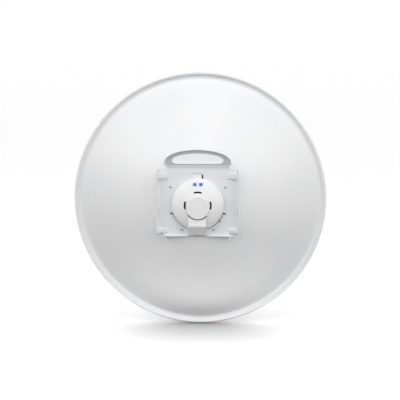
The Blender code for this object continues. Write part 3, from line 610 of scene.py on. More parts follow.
def dish_middle_line():
    """(radius, y) points along the middle of the dish's sheet, from the hole to the bead."""
    middle = LAND_REAR + DISH_SHEET / 2
    start = LAND_RADIUS + LAND_BLEND
    points = [(DISH_HOLE_RADIUS, middle), (LAND_RADIUS - LAND_BLEND, middle)]
    for row in range(1, BLEND_ROWS):
        part = row / BLEND_ROWS
        radius = LAND_RADIUS + (2 * part - 1) * LAND_BLEND
        points.append((radius, middle + dish_height(start) * part**2))
    for row in range(DISH_ROWS + 1):
        radius = start + (GUTTER_START - start) * row / DISH_ROWS
        points.append((radius, middle + dish_height(radius)))
    radius, y = points[-1]
    slope = atan(GUTTER_START / (2 * FOCAL_LENGTH))
    for step in range(GUTTER_STEPS):
        angle = slope - (slope + GUTTER_FALL) * (step + 0.5) / GUTTER_STEPS
        radius += GUTTER_ARC / GUTTER_STEPS * cos(angle)
        y += GUTTER_ARC / GUTTER_STEPS * sin(angle)
        points.append((radius, y))
    radius += GUTTER_STRAIGHT * cos(GUTTER_FALL)
    y -= GUTTER_STRAIGHT * sin(GUTTER_FALL)
    points.append((radius, y))
    return points


def dish_height(radius):
    """How far forward of the land's rear face the dish's rear surface is."""
    return (radius**2 - LAND_RADIUS**2) / (4 * FOCAL_LENGTH)


def reflector():
    middle = dish_middle_line()
    front = offset_line(middle, DISH_SHEET / 2)
    rear = offset_line(middle, -DISH_SHEET / 2)
    bead_centre = (RIM_RADIUS - BEAD_RADIUS, middle[-1][1] - BEAD_SET_BACK)
    bead = arc(bead_centre, BEAD_RADIUS, BEAD_TURN, -BEAD_TURN, 14)
    item = settle("dish_reflector", turned(front + bead + rear[::-1], DISH_SIDES),
                  "powder_white", ["reflector"])
    for shape in sights(LAND_REAR - CLEAR, LAND_FRONT + CLEAR):
        cut(item, shape)
    crisp(item)


def sights(y_low, y_high):
    """Solids of the gaps that show beside the dome and the lock tab: the arcs, then the rest."""
    x_low, x_high, top = LOCK_SIGHT
    spans = ((NOTCHES[0][0], OPENING_SPANS[1][1]), (OPENING_SPANS[3][0], NOTCHES[2][1]))
    arcs = [sector(SIGHT_INNER, ARC_WINDOW_RADIUS - SIGHT_SET_IN, *span, y_low, y_high, 40)
            for span in spans]
    rest = [prism(box_outline(x_low, x_high, LOCK_SIGHT_FOOT, top), y_low, y_high)]
    for start, end, radius in NOTCHES:
        rest.append(sector(SIGHT_INNER, radius - SIGHT_SET_IN, start, end, y_low, y_high, 2))
    return joined(arcs), joined(rest)


# The back plate, folded from a flat blank.

def folded_side(u):
    """x and rearward depth of a point at distance u along the blank's width."""
    run = abs(u) - SIDE_FLAT
    side = copysign(1.0, u)
    if run <= 0:
        return u, 0.0
    turn = min(run / FLANGE_BEND, SIDE_FLANGE_ANGLE)
    x = SIDE_FLAT + FLANGE_BEND * sin(turn)
    back = FLANGE_BEND * (1 - cos(turn))
    straight = max(run - SIDE_ARC, 0.0)
    return side * (x + straight * cos(turn)), back + straight * sin(turn)


def folded_height(v):
    """z, rearward depth and tilt of a point at height v up the blank."""
    if v < FOOT_FLAT:
        turn = min((FOOT_FLAT - v) / FOOT_BEND, pi / 2)
        z = FOOT_FLAT - FOOT_BEND * sin(turn)
        straight = max(FOOT_FLAT - FOOT_ARC - v, 0.0)
        return z, FOOT_BEND * (1 - cos(turn)) + straight, 0.0
    if v <= HANDLE_BEND_START:
        return v, 0.0, 0.0
    turn = min((v - HANDLE_BEND_START) / HANDLE_BEND_RADIUS, HANDLE_TILT)
    z = HANDLE_BEND_START + HANDLE_BEND_RADIUS * sin(turn)
    back = HANDLE_BEND_RADIUS * (1 - cos(turn))
    straight = max(v - HANDLE_BEND_START - HANDLE_BEND_RADIUS * HANDLE_TILT, 0.0)
    return z + straight * cos(HANDLE_TILT), back + straight * sin(HANDLE_TILT), turn


def on_sheet(u, v, lift=0.0, out=0.0):
    """The folded place of a blank point, lifted off the sheet to the rear, or moved outwards."""
    x, side_back = folded_side(u)
    z, height_back, tilt = folded_height(v)
    y = PLATE_MIDDLE - side_back - height_back - lift * cos(tilt)
    return Vector((x + copysign(out, u), y, z - lift * sin(tilt)))


def pressed(u, v, lift=0.0, out=0.0):
    """on_sheet, with the four gussets pressed across the corners of the bends."""
    corner = SIDE_FLAT + SIDE_ARC / 2
    for height, half_height in GUSSETS:
        part = (v - height) / half_height
        if abs(part) >= 1:
            continue
        swell = (1 - part**4) ** 0.25
        start = corner - GUSSET_ON_PLATE * swell
        end = corner + GUSSET_ON_FLANGE * swell
        if start < abs(u) < end:
            along = (abs(u) - start) / (end - start)
            side = copysign(1.0, u)
            return on_sheet(side * start, v).lerp(on_sheet(side * end, v), along)
    return on_sheet(u, v, lift, out)


def handle_edge():
    """Where the handle's lip starts: up the right side, over the top and down the left."""
    points = [(HANDLE_HALF, EAR_FOOT)]
    for step in range(LIP_SIDES + 1):
        a = pi * step / LIP_SIDES
        points.append((HANDLE_HALF * cos(a), HANDLE_SHOULDER + HANDLE_RISE * sin(a)))
    points.append((-HANDLE_HALF, EAR_FOOT))
    return points


def handle_lip():
    """The lip's rows from its start to its edge: lists of (u, v, lift)."""
    edge = handle_edge()
    rows = [[(u, v, 0.0) for u, v in edge]]
    run = 0.0
    lift = 0.0
    for angle in LIP_ANGLES:
        run += LIP_STEP * cos(angle)
        lift += LIP_STEP * sin(angle)
        moved = offset_line(edge, -run)
        moved[0] = (edge[0][0] + run, EAR_FOOT)
        moved[-1] = (edge[-1][0] - run, EAR_FOOT)
        rows.append([(u, v, lift) for u, v in moved])
    return rows


def slot_outline():
    """The hand slot: a straight foot, round lower corners and an elliptical top."""
    corner_x = SLOT_HALF - SLOT_CORNER
    shoulder = SLOT_FOOT + SLOT_CORNER
    points = arc((corner_x, shoulder), SLOT_CORNER, -90, 0, 8)
    steps = 40
    for step in range(1, steps):
        a = pi * step / steps
        points.append((SLOT_HALF * cos(a), shoulder + (SLOT_TOP - shoulder) * sin(a)))
    points += arc((-corner_x, shoulder), SLOT_CORNER, 180, 270, 8)
    return points


def plate_hole():
    """The plate's round opening with its windows, and the lock tab's window on top."""
    centre = (0.0, 0.0)
    x_low, x_high, top = LOCK_WINDOW
    _, sight_high, sight_top = LOCK_SIGHT
    right = degrees(acos(sight_high / PLATE_HOLE_RADIUS))
    left = degrees(acos(x_low / PLATE_HOLE_RADIUS))
    first = OPENING_SPANS[0][0]
    last = OPENING_SPANS[-1][1] - 360
    points = []
    for start, end, radius in OPENING_SPANS:
        steps = max(round((end - start) / OPENING_STEP), 1)
        points += arc(centre, radius, start, end, steps)
    points += arc(centre, PLATE_HOLE_RADIUS, last, right, round((right - last) / OPENING_STEP))
    points += [(sight_high, sight_top), (x_high, sight_top), (x_high, top), (x_low, top)]
    points += arc(centre, PLATE_HOLE_RADIUS, left, first, round((first - left) / OPENING_STEP))
    return points


def plate_blank():
    """The blank's outer loop, anticlockwise from behind: lists of (u, v, lift, out)."""
    root = HOOK_INNER - HOOK_SLIT
    return_foot = HOOK_FOOT - HOOK_RETURN
    hook_end = HOOK_TOP - HOOK_SLIT
    relief = SIDE_FLAT - CORNER_RELIEF_STEP
    nick = (SIDE_END - FLANGE_NICK, SIDE_FLANGE_FOOT + FLANGE_NICK)
    right = [(CABLE_NOTCH_HALF, FOOT_FLAT), (CABLE_NOTCH_HALF, FOOT_END)]
    right += [(BOTTOM_FLANGE_HALF, FOOT_END), (BOTTOM_FLANGE_HALF, CORNER_RELIEF_Z)]
    right += [(relief, CORNER_RELIEF_Z), (relief, SIDE_FLANGE_FOOT)]
    right += [(nick[0], SIDE_FLANGE_FOOT), (SIDE_END, nick[1]), (SIDE_END, return_foot)]
    right = [(u, v, 0, 0) for u, v in right]
    right += [(SIDE_END, HOOK_FOOT, 0, HOOK_OUT), (SIDE_END, hook_end, 0, HOOK_OUT)]
    right += [(HOOK_INNER, hook_end, 0, HOOK_OUT), (HOOK_INNER, HOOK_FOOT, 0, HOOK_OUT)]
    upper = [(HOOK_INNER, return_foot), (root, return_foot), (root, HOOK_TOP)]
    upper += [(SIDE_END, HOOK_TOP)]
    corner_centre = (SIDE_END - FLANGE_CORNER, PLATE_TOP - FLANGE_CORNER)
    upper += arc(corner_centre, FLANGE_CORNER, 0, 90, 6)
    fillet_centre = (NECK_HALF + NECK_FILLET, PLATE_TOP + NECK_FILLET)
    upper += arc(fillet_centre, NECK_FILLET, 270, 180, 8)
    upper += [(NECK_HALF, EAR_FOOT - EAR_SLIT), (HANDLE_HALF, EAR_FOOT - EAR_SLIT)]
    right += [(u, v, 0, 0) for u, v in upper]
    left = [(-u, v, lift, out) for u, v, lift, out in reversed(right)]
    lip = [[(*point, 0) for point in row] for row in handle_lip()]
    handle = [row[0] for row in lip[:-1]] + lip[-1] + [row[-1] for row in reversed(lip[:-1])]
    return right + handle + left


def neck_half(v):
    """Half the blank's width at height v of the neck and the handle."""
    if v > EAR_FOOT - EAR_SLIT:
        return HANDLE_HALF
    rise = max(PLATE_TOP + NECK_FILLET - v, 0.0)
    return NECK_HALF + NECK_FILLET - sqrt(NECK_FILLET**2 - rise**2)


def blank_lines():
    """Lines inside the blank that have to be edges: bends, the lip's rows and the hooks' folds."""
    lines = []
    for step in range(BEND_STEPS + 1):
        for side in (-1, 1):
            u = side * (SIDE_FLAT + SIDE_ARC * step / BEND_STEPS)
            lines.append([(u, SIDE_FLANGE_FOOT, 0, 0), (u, PLATE_TOP, 0, 0)])
            v = FOOT_FLAT - FOOT_ARC * step / BEND_STEPS
            ends = (side * CABLE_NOTCH_HALF, side * BOTTOM_FLANGE_HALF)
            lines.append([(w, v, 0, 0) for w in ends])
    for side in (-1, 1):
        for v, out in ((HOOK_FOOT, HOOK_OUT), (HOOK_FOOT - HOOK_RETURN, 0)):
            lines.append([(side * HOOK_INNER, v, 0, out), (side * SIDE_END, v, 0, out)])
    for step in range(BEND_STEPS + 1):
        v = HANDLE_BEND_START + HANDLE_BEND_RADIUS * HANDLE_TILT * step / BEND_STEPS
        lines.append([(-neck_half(v), v, 0, 0), (neck_half(v), v, 0, 0)])
    for row in handle_lip()[:-1]:
        lines.append([(*point, 0) for point in row])
    return lines


def gusset_points():
    """Blank points over each gusset, close at its ends, on the bends' lines and between them."""
    corner = SIDE_FLAT + SIDE_ARC / 2
    bends = [SIDE_FLAT + SIDE_ARC * step / BEND_STEPS for step in range(BEND_STEPS + 1)]
    across_count, up_count = GUSSET_GRID
    start = corner - GUSSET_ON_PLATE - GUSSET_MARGIN
    length = GUSSET_ON_PLATE + GUSSET_ON_FLANGE + 2 * GUSSET_MARGIN
    columns = [start + length * step / across_count for step in range(across_count + 1)]
    columns = [u for u in columns if min(abs(u - bend) for bend in bends) > GUSSET_MARGIN]
    points = []
    for height, half_height in GUSSETS:
        for row in range(up_count + 1):
            part = sin(pi * (row / up_count - 0.5))
            v = height + (half_height + GUSSET_MARGIN / 2) * part
            if SIDE_FLANGE_FOOT + GUSSET_MARGIN < v < PLATE_TOP - GUSSET_MARGIN:
                points += [(side * u, v, 0, 0) for u in columns + bends for side in (-1, 1)]
    return points


def inside(point, outline):
    """Whether a flat point is inside an outline."""
    x, y = point
    count = 0
    for (x0, y0), (x1, y1) in zip(outline, outline[1:] + outline[:1]):
        if (y0 > y) != (y1 > y) and x < x0 + (y - y0) / (y1 - y0) * (x1 - x0):
            count += 1
    return count % 2 == 1


def chain(points, loop, closed):
    """Adds a loop's points, and returns the edges that join them."""
    start = len(points)
    points += loop
    count = len(loop)
    edges = [(start + step, start + step + 1) for step in range(count - 1)]
    if closed:
        edges.append((start + count - 1, start))
    return edges


def plate_sheet_mesh():
    """The plate's middle surface: the blank with its holes, triangulated and folded."""
    blank = plate_blank()
    holes = [slot_outline(), plate_hole()]
    holes += [arc(place, RIVET_HOLE_RADIUS, 0, 345, 23) for place in RIVET_PLACES]
    points = []
    edges = []
    for loop in [blank] + [[(*point, 0, 0) for point in hole] for hole in holes]:
        edges += chain(points, loop, True)
    for line in blank_lines():
        edges += chain(points, line, False)
    points += gusset_points()
    flat = [Vector(point[:2]) for point in points]
    verts, _, faces, sources, _, _ = delaunay_2d_cdt(flat, edges, [], 1, 1e-6)
    outline = [point[:2] for point in blank]
    shape = bmesh.new()
    folded = []
    for vert, source in zip(verts, sources):
        lift, out = points[source[0]][2:] if source else (0.0, 0.0)
        folded.append(shape.verts.new(pressed(vert[0], vert[1], lift, out)))
    for face in faces:
        centre = [sum(verts[i][k] for i in face) / len(face) for k in (0, 1)]
        if inside(centre, outline) and not any(inside(centre, hole) for hole in holes):
            shape.faces.new([folded[i] for i in face])
    loose = [vert for vert in shape.verts if not vert.link_faces]
    bmesh.ops.delete(shape, geom=loose, context="VERTS")
    return shape


def back_plate():
    item = settle("mounting_plate", plate_sheet_mesh(), "plate_white", ["back_plate"])
    thick = item.modifiers.new("sheet", "SOLIDIFY")
    thick.thickness = PLATE_SHEET
    thick.offset = 0.0
    thick.use_even_offset = True
    thick.thickness_clamp = 1.0
    apply_changes(item)
    softened(item)


def plate_rivets():
    """Rivet heads low in their holes, each on a dark disc of painted shade that shows as a crescent
    of shadow above it.
    """
    seat = LAND_REAR - GAP
    foot = seat - RIVET_SHADE_DISC
    reach = RIVET_HOLE_RADIUS - GAP
    shade_disc = [(0.0, seat), (reach, seat), (reach, foot), (0.0, foot)]
    top = seat - RIVET_HEIGHT
    brim, cup = (RIVET_RADIUS * share for share in RIVET_CUP)
    head = [(0.0, foot), (RIVET_RADIUS, foot), (RIVET_RADIUS, top), (brim, top)]
    head += [(cup, top + RIVET_CROWN), (0.0, top + RIVET_CROWN)]
    for number, (x, z) in enumerate(RIVET_PLACES, start=1):
        shape = joined([turned(shade_disc, 32, (x, z)),
                        turned(rounded(head, RIVET_CROWN), 32, (x, z - RIVET_DROP))])
        item = settle(f"rivet_{number}", shape, "plate_white", [f"plate_rivet_{number}"])
        # Painted shade: the disc's faces get the dark finish and stand for the shadow in the top of
        # each hole.
        paint_shade(item, lambda centre, normal: centre.y > foot - RIVET_SHADE_DISC / 2)


def paint_shade(item, chosen):
    """Paints shade: the faces that a rule picks get the dark finish of the radio's body."""
    item.data.materials.append(FINISHES["dark_core"])
    for face in item.data.polygons:
        if chosen(face.center, face.normal):
            face.material_index = 1


# The twist-lock ring and the housing.

def bayonet_ring():
    """The twist-lock ring, with its lugs under the dome's edge and the lock tab above."""
    inner = TUBE_RADIUS + GAP
    profile = [(inner, RING_FRONT), (RING_RADIUS, RING_FRONT)]
    profile += [(RING_RADIUS, RING_REAR), (inner, RING_REAR)]
    item = settle("lock_ring", turned(profile), "plastic_white", ["bayonet_ring"])
    root = RING_FRONT - LUG_ROOT
    front = PLATE_REAR + LUG_DEPTH
    extras = [sector(LUG_INNER, LUG_RADIUS, *span, root, front) for span in LUG_SPANS]
    x_low, x_high, top = LOCK_TAB
    neck = box_outline(x_low, x_high, LUG_INNER, LUG_RADIUS - GAP)
    extras.append(prism(neck, root, front - LOCK_TAB_SET_IN))
    cut(item, joined(extras), "UNION")
    outline = box_outline(x_low, x_high, LUG_INNER + GAP, top, LOCK_TAB_CORNER)
    cut(item, prism(outline, PLATE_REAR + LOCK_TAB_SET_IN, front), "UNION")
    softened(item)


def dome_height(radius, rise, reach):
    """The dome's height over its base: level on the crown, then falling to the edge."""
    part = max(radius, CROWN_RADIUS) / reach
    return rise * (1 - min(part, 1.0) ** HOUSING_POWER) ** (1 / HOUSING_POWER)


def dome_line(reach, rise):
    """(radius, y) points from the crown's centre to the edge of one face of the dome."""
    points = [(0.0, HOUSING_BASE - dome_height(0.0, rise, reach))]
    for step in range(DOME_ROWS + 1):
        part = sin(pi / 2 * step / DOME_ROWS)
        radius = CROWN_RADIUS + (reach - CROWN_RADIUS) * part
        points.append((radius, HOUSING_BASE - dome_height(radius, rise, reach)))
    return points


def dome_shell():
    """The dome's shell, with its rings moved down towards the crown."""
    outer = dome_line(HOUSING_RADIUS, HOUSING_RISE)
    inner = dome_line(HOUSING_RADIUS - HOUSING_WALL, HOUSING_RISE - HOUSING_WALL)
    shape = turned(outer + inner[::-1], DOME_SIDES)
    for vert in shape.verts:
        vert.co.z -= ring_drop(hypot(vert.co.x, vert.co.z))
    return shape


def ring_drop(radius):
    return CROWN_DROP * (1 - (radius / HOUSING_RADIUS) ** 2)


def dome_face(x, z):
    """How far forward the dome's outer face is at a point seen from behind."""
    radius = hypot(x, z)
    for _ in range(20):
        radius = hypot(x, z + ring_drop(radius))
    return HOUSING_BASE - dome_height(radius, HOUSING_RISE, HOUSING_RADIUS)


def led_place():
    """Where the light window lies: on the dome's surface and tilted with it."""
    half = LED_WINDOW_SIZE[1] / 2
    low, high = (dome_face(0.0, LED_WINDOW_HEIGHT + side * half) for side in (-1, 1))
    tilt = atan2(high - low, 2 * half)
    move = Matrix.Translation((CAP_SHIFT, (low + high) / 2, LED_WINDOW_HEIGHT))
    return move @ Matrix.Rotation(-tilt, 4, "X")


def placed(shape, place):
    shape.transform(place)
    return shape


def slit_cutter(turn):
    """A curved slit's solid whose mouth opens a little at the dome's surface."""
    middle = radians(turn)
    surface = dome_face(SLIT_RADIUS * cos(middle), SLIT_RADIUS * sin(middle))
    shape = bmesh.new()
    sections = []
    for y, grow in ((HOUSING_BASE + CLEAR, 0.0), (surface + SLIT_THROAT, 0.0),
                    (surface - SLIT_LIFT, SLIT_MOUTH)):
        half = SLIT_WIDTH / 2 + grow
        extra = degrees(grow / SLIT_RADIUS)
        start = turn - SLIT_HALF_TURN - extra
        end = turn + SLIT_HALF_TURN + extra
        loop = []
        for radius, a, b in ((SLIT_RADIUS + half, start, end), (SLIT_RADIUS - half, end, start)):
            loop += arc((0.0, 0.0), radius, a, b, 14)
        sections.append([shape.verts.new((x, y, z)) for x, z in loop])
    for near, far in zip(sections, sections[1:]):
        for k in range(len(near)):
            after = (k + 1) % len(near)
            shape.faces.new((near[k], near[after], far[after], far[k]))
    shape.faces.new(sections[0])
    shape.faces.new(reversed(sections[-1]))
    return placed(shape, Matrix.Translation((CAP_SHIFT, 0.0, 0.0)))


def rear_housing():
    item = settle("dome_housing", dome_shell(), "plastic_white", ["rear_housing"])
    cut(item, joined([slit_cutter(turn) for turn in (0, 90, 180)]))
    reach = PORT_HALF + GAP
    outline = box_outline(-reach, reach, -HOUSING_RADIUS - CLEAR, PORT_TOP + GAP)
    cut(item, prism(outline, -DISC_FACE - CLEAR, HOUSING_BASE + CLEAR))
    width, height = (size / 2 + GAP for size in LED_WINDOW_SIZE)
    pocket = box_outline(-width, width, -height, height, LED_CORNER)
    cut(item, placed(prism(pocket, -CLEAR, LED_POCKET), led_place()))
    crisp(item, 32)


def led_window():
    """The light window, set in the dome's face, with two lamps in it."""
    place = led_place()
    width, height = (size / 2 for size in LED_WINDOW_SIZE)
    outline = box_outline(-width, width, -height, height, LED_CORNER)
    body = prism(outline, 0.0, LED_WINDOW_THICKNESS)
    window = settle("light_window", placed(body, place), "lens_white", ["led_window"])
    holes = []
    lens_width, lens_height = (size / 2 for size in LED_SIZE)
    for name, x in (("left", -LED_PITCH / 2), ("right", LED_PITCH / 2)):
        reach = (x - lens_width - GAP / 2, x + lens_width + GAP / 2)
        hole = box_outline(*reach, -lens_height - GAP / 2, lens_height + GAP / 2, LED_CORNER)
        holes.append(placed(prism(hole, -CLEAR, LENS_SEAT), place))
        outline = box_outline(x - lens_width, x + lens_width, -lens_height, lens_height, LED_CORNER)
        lens = prism(outline, -LENS_PROUD, LENS_THICKNESS)
        lamp = settle(f"lamp_{name}", placed(lens, place), "led_blue", [f"led_{name}"])
        softened(lamp, LENS_ROUND, 3)
    cut(window, joined(holes))
    softened(window, FINE_ROUND)


def rear_disc():
    """The bare round disc on the dome's crown."""
    seat = HOUSING_BASE - dome_height(0.0, HOUSING_RISE, HOUSING_RADIUS) - GAP
    face = -DISC_FACE
    profile = [(0.0, seat), (DISC_FOOT_RADIUS, seat), (DISC_FOOT_RADIUS, seat - DISC_WALL)]
    profile += [(DISC_RADIUS, face), (0.0, face + DISC_DISH)]
    shape = turned(rounded(profile, DISC_ROUND, 6), CROWN_SIDES, (CAP_SHIFT, -CROWN_SHIFT))
    settle("badge_disc", shape, "plastic_white", ["rear_disc"])


def port_cover():
    """The tongue below the disc, which clears it by a narrow moat."""
    outline = box_outline(-PORT_HALF, PORT_HALF, COVER_FOOT, PORT_TOP, COVER_CORNER)
    shape = prism(outline, -PORT_FACE, -PORT_FACE + COVER_THICKNESS)
    item = settle("tongue", shape, "plastic_white", ["port_cover"])
    radius = DISC_FOOT_RADIUS + DISC_MOAT
    rest = [(0.0, 0.0), (radius, 0.0), (radius, -PORT_FACE - CLEAR), (0.0, -PORT_FACE - CLEAR)]
    cut(item, turned(rest, CROWN_SIDES, (CAP_SHIFT, -CROWN_SHIFT)))
    softened(item, EDGE_ROUND, 3)


def narrowed(shape, foot_scale):
    """Scales the width down from the brow to the foot."""
    for vert in shape.verts:
        part = min(max((HOOD_BROW - vert.co.z) / (HOOD_BROW - HOOD_FOOT), 0.0), 1.0)
        vert.co.x *= 1 + (foot_scale - 1) * part
    return shape


def cable_hood():
    """The scoop over the network port: a brow, a sloping underside and no floor."""
    seat = PLATE_REAR - GAP
    outer = [(HOUSING_BASE, HOOD_TOP), (HOUSING_BASE, HOOD_SEAT), (seat, HOOD_SEAT)]
    outer += [(seat, HOOD_FOOT), (-HOOD_FOOT_FACE, HOOD_FOOT), (-HOOD_FACE, HOOD_BROW)]
    outer += [(-HOOD_FACE, HOOD_TOP)]
    shape = narrowed(prism(outer, -PORT_HALF, PORT_HALF, across), HOOD_FOOT_HALF / PORT_HALF)
    item = settle("hood", shape, "plastic_white", ["cable_hood"])
    foot = HOOD_FOOT - CLEAR
    slope = (HOOD_FACE - HOOD_FOOT_FACE) / (HOOD_BROW - HOOD_FOOT)
    brow = HOOD_BROW - HOOD_WALL * 0.4
    inner_brow = -HOOD_FACE + HOOD_WALL
    inner_foot = inner_brow + slope * (brow - foot)
    roof = HOOD_TOP - HOOD_WALL
    roof_end = COVER_THICKNESS - PORT_FACE
    top = HOOD_TOP + CLEAR
    room = [(CLEAR, top), (CLEAR, foot), (inner_foot, foot), (inner_brow, brow), (inner_brow, roof)]
    room += [(roof_end, roof), (roof_end, top)]
    inner = prism(room, HOOD_WALL - PORT_HALF, PORT_HALF - HOOD_WALL, across)
    cut(item, narrowed(inner, (HOOD_FOOT_HALF - HOOD_WALL) / (PORT_HALF - HOOD_WALL)))
    softened(item, EDGE_ROUND, 3, 30)


def network_port():
    """The socket inside the hood, open downwards, with a notch for the plug's latch."""
    low = HOUSING_BASE - SOCKET_HEIGHT
    outline = box_outline(-SOCKET_HALF, SOCKET_HALF, low, HOUSING_BASE)
    item = settle("plug_socket", prism(outline, SOCKET_FOOT, SOCKET_TOP, upright), "dark_core",
                  ["network_port"])
    mouth = box_outline(-PLUG_HALF, PLUG_HALF, low + PLUG_FLOOR, HOUSING_BASE - PLUG_ROOF)
    latch = box_outline(-PLUG_HALF / 2, PLUG_HALF / 2, HOUSING_BASE - PLUG_FLOOR * 2,
                        HOUSING_BASE - PLUG_ROOF / 2)
    for opening, depth in ((mouth, PLUG_STOP), (latch, PLUG_STOP * 2)):
        cut(item, prism(opening, SOCKET_FOOT - CLEAR, SOCKET_TOP - depth, upright))
    softened(item, FINE_ROUND)


def radio_core():
    """The dark radio body behind the housing's slits, with shallow rings in its face."""
    face = HOUSING_BASE - CORE_DEPTH
    profile = [(0.0, HOUSING_BASE), (CORE_RADIUS, HOUSING_BASE), (CORE_RADIUS, face)]
    for radius in CORE_GROOVES:
        profile += grooved(face, radius, -CORE_GROOVE_DEPTH)
    profile.append((0.0, face))
    settle("radio_body", turned(rounded(profile)), "dark_core", ["radio_core"])


def grooved(face, radius, depth):
    """Profile points of a groove in a flat face, from its outer edge to its inner one."""
    floor_y = face - depth
    return [(radius + GROOVE_HALF, face), (radius + GROOVE_FLOOR_HALF, floor_y),
            (radius - GROOVE_FLOOR_HALF, floor_y), (radius - GROOVE_HALF, face)]


# The feed on the dish's front.

def feed_collar():
    """The clamp collar, with a groove in its face, and the pockets behind the dish's gaps darkened
    as painted shade.
    """
    inner = TUBE_RADIUS + GAP
    rear = LAND_FRONT + GAP
    front = rear + COLLAR_THICKNESS
    profile = [(inner, rear), (COLLAR_RADIUS, rear), (COLLAR_RADIUS, front - COLLAR_SLOPE)]
    profile += [(COLLAR_RADIUS - COLLAR_SLOPE, front), *grooved(front, *COLLAR_GROOVE)]
    profile.append((inner, front))
    item = settle("feed_flange", turned(rounded(profile)), "plastic_white", ["feed_collar"])
    for shape in sights(rear - GAP, front - SIGHT_FLOOR):
        cut(item, shape)
    crisp(item)
    # Painted shade: the pockets' walls and floors get the dark finish.
    edge = COLLAR_RADIUS - SIGHT_SET_IN
    paint_shade(item, lambda centre, normal: rear + SIGHT_SET_IN < centre.y < front - SIGHT_FLOOR / 2
             and SIGHT_INNER - GAP < hypot(centre.x, centre.z + ORIGIN_ABOVE_AXIS) < edge
             and normal.y < 0.3)


def collar_screws():
    """Four pan heads with a hexagonal socket each."""
    front = LAND_FRONT + GAP + COLLAR_THICKNESS + GAP
    radius = SCREW_HEAD_RADIUS
    height = SCREW_HEAD_HEIGHT
    side, top, socket_reach, socket_floor = SCREW_SHAPE
    profile = [(0.0, front), (radius, front), (radius, front + height * side)]
    profile += [(radius * top, front + height), (0.0, front + height)]
    for number, angle in enumerate(COLLAR_SCREW_ANGLES, start=1):
        turn = radians(angle)
        centre = (COLLAR_SCREW_RADIUS * cos(turn), COLLAR_SCREW_RADIUS * sin(turn))
        item = settle(f"clamp_screw_{number}", turned(rounded(profile), 48, centre),
                      "bare_metal", [f"collar_screw_{number}"])
        socket = arc(centre, radius * socket_reach, 0, 300, 5)
        floor_y = front + height * socket_floor
        cut(item, prism(socket, floor_y, front + height + CLEAR))
        crisp(item)


def feed_tube():
    """The tube through the dish, with a parting groove, and the grooved band round it."""
    profile = [(0.0, RING_REAR), (TUBE_RADIUS, RING_REAR), *side_groove(TUBE_GROOVE, TUBE_RADIUS)]
    profile += arc((TUBE_RADIUS - TUBE_NOSE, TUBE_END - TUBE_NOSE), TUBE_NOSE, 0, 90, 10)
    profile.append((0.0, TUBE_END))
    settle("feed_barrel", turned(profile), "plastic_white", ["feed_tube"])
    inner = TUBE_RADIUS + GAP
    outer = inner + BAND_THICKNESS
    stop = BAND_START + BAND_LENGTH
    band = [(inner, BAND_START), (outer, BAND_START)]
    for part in BAND_GROOVES:
        band += side_groove(BAND_START + BAND_LENGTH * part, outer)
    band += [(outer, stop), (inner, stop)]
    settle("barrel_band", turned(rounded(band)), "band_grey", ["feed_band"])


def side_groove(y, radius):
    """Profile points of a groove round a cylinder, from its rear edge to its front one."""
    low = radius - SIDE_GROOVE_DEPTH
    return [(radius, y - GROOVE_HALF), (low, y - GROOVE_FLOOR_HALF),
            (low, y + GROOVE_FLOOR_HALF), (radius, y + GROOVE_HALF)]


def feed_head():
    """The neck on the tube's end, the small metal reflector and its cap."""
    start = TUBE_END + GAP
    stop = start + NECK_LENGTH
    neck = [(0.0, start), (NECK_RADIUS, start), (NECK_WAIST, start + NECK_FOOT)]
    neck += [(NECK_WAIST, stop - NECK_HEAD), (NECK_FLARE, stop), (0.0, stop)]
    settle("sub_reflector_neck", turned(rounded(neck, NECK_ROUND)), "plastic_white", ["feed_neck"])
    start = stop + GAP
    stop = start + SUB_REFLECTOR_THICKNESS
    plate = [(0.0, start), (SUB_REFLECTOR_RADIUS, start), (SUB_REFLECTOR_RADIUS, stop), (0.0, stop)]
    settle("sub_reflector_plate", turned(rounded(plate)), "bare_metal", ["sub_reflector"])
    start = stop + GAP
    stop = start + CAP_LENGTH
    cap = [(0.0, start), (CAP_RADIUS, start), (CAP_RADIUS, start + CAP_SKIRT)]
    cap += arc((CAP_RADIUS - CAP_ROUND, stop - CAP_ROUND), CAP_ROUND, 0, 90, 12)
    cap += [*grooved(stop, *CAP_GROOVE), (0.0, stop)]
    settle("nose_cap", turned(cap), "plastic_white", ["feed_cap"])


# Camera, light and stage.

CAMERA_AZIMUTH = radians(2.4)
CAMERA_ELEVATION = radians(6.5)
CAMERA_DISTANCE = 2.6
FRAME_WIDTH = 0.8268
SENSOR_WIDTH = 36.0
RIM_FORWARD = 0.108
AIM_BELOW_RIM_CENTRE = 0.0034
AIM_LEFT_OF_RIM_CENTRE = 0.0002
FLOOR_HEIGHT = -ORIGIN_ABOVE_AXIS - 0.260
FLOOR_HALF = 60.0
FLOOR_TONES = ((0.86, 0.86, 0.86), (0.87, 0.87, 0.87))
FLOOR_GLOW = 0.40
FLOOR_ROUGHNESS = 0.38
# How far the painted contact shadow on the floor reaches, in metres.
PAINTED_SHADOW_REACHES = (0.22, 0.03)

# The studio's brightness by the height of the direction, from straight down to straight up.
SKY = ((-1.0, 0.04), (-0.05, 0.04), (-0.03, 1.04), (0.045, 1.04), (0.06, 0.85), (0.24, 0.85),
       (0.26, 1.64), (0.59, 1.64), (0.61, 0.0), (1.0, 0.0))
SKY_PEAK = 1.8

# Area lights: name, place, target, size in metres and power in watts.
AIM = (0.0, 0.0, -0.07)
SOFTBOXES = (
    ("overhead", (0.15, -1.02, 2.12), AIM, (1.5, 1.5), 14.7),
    ("front_fill", (0.0, -2.6, 0.6), AIM, (1.6, 0.8), 3.7),
    ("right_side", (1.8, -1.2, 1.4), AIM, (1.4, 1.4), 12.9),
    ("left_side", (-1.8, -1.2, 1.4), AIM, (1.4, 1.4), 17.4),
    ("right_low", (2.2, -1.6, 0.1), AIM, (1.2, 1.2), 5.3),
    ("foot_card", (0.0, 0.0, FLOOR_HEIGHT + 0.004), (0.0, 0.0, 1.0), (0.5, 0.12), 0.18),
)


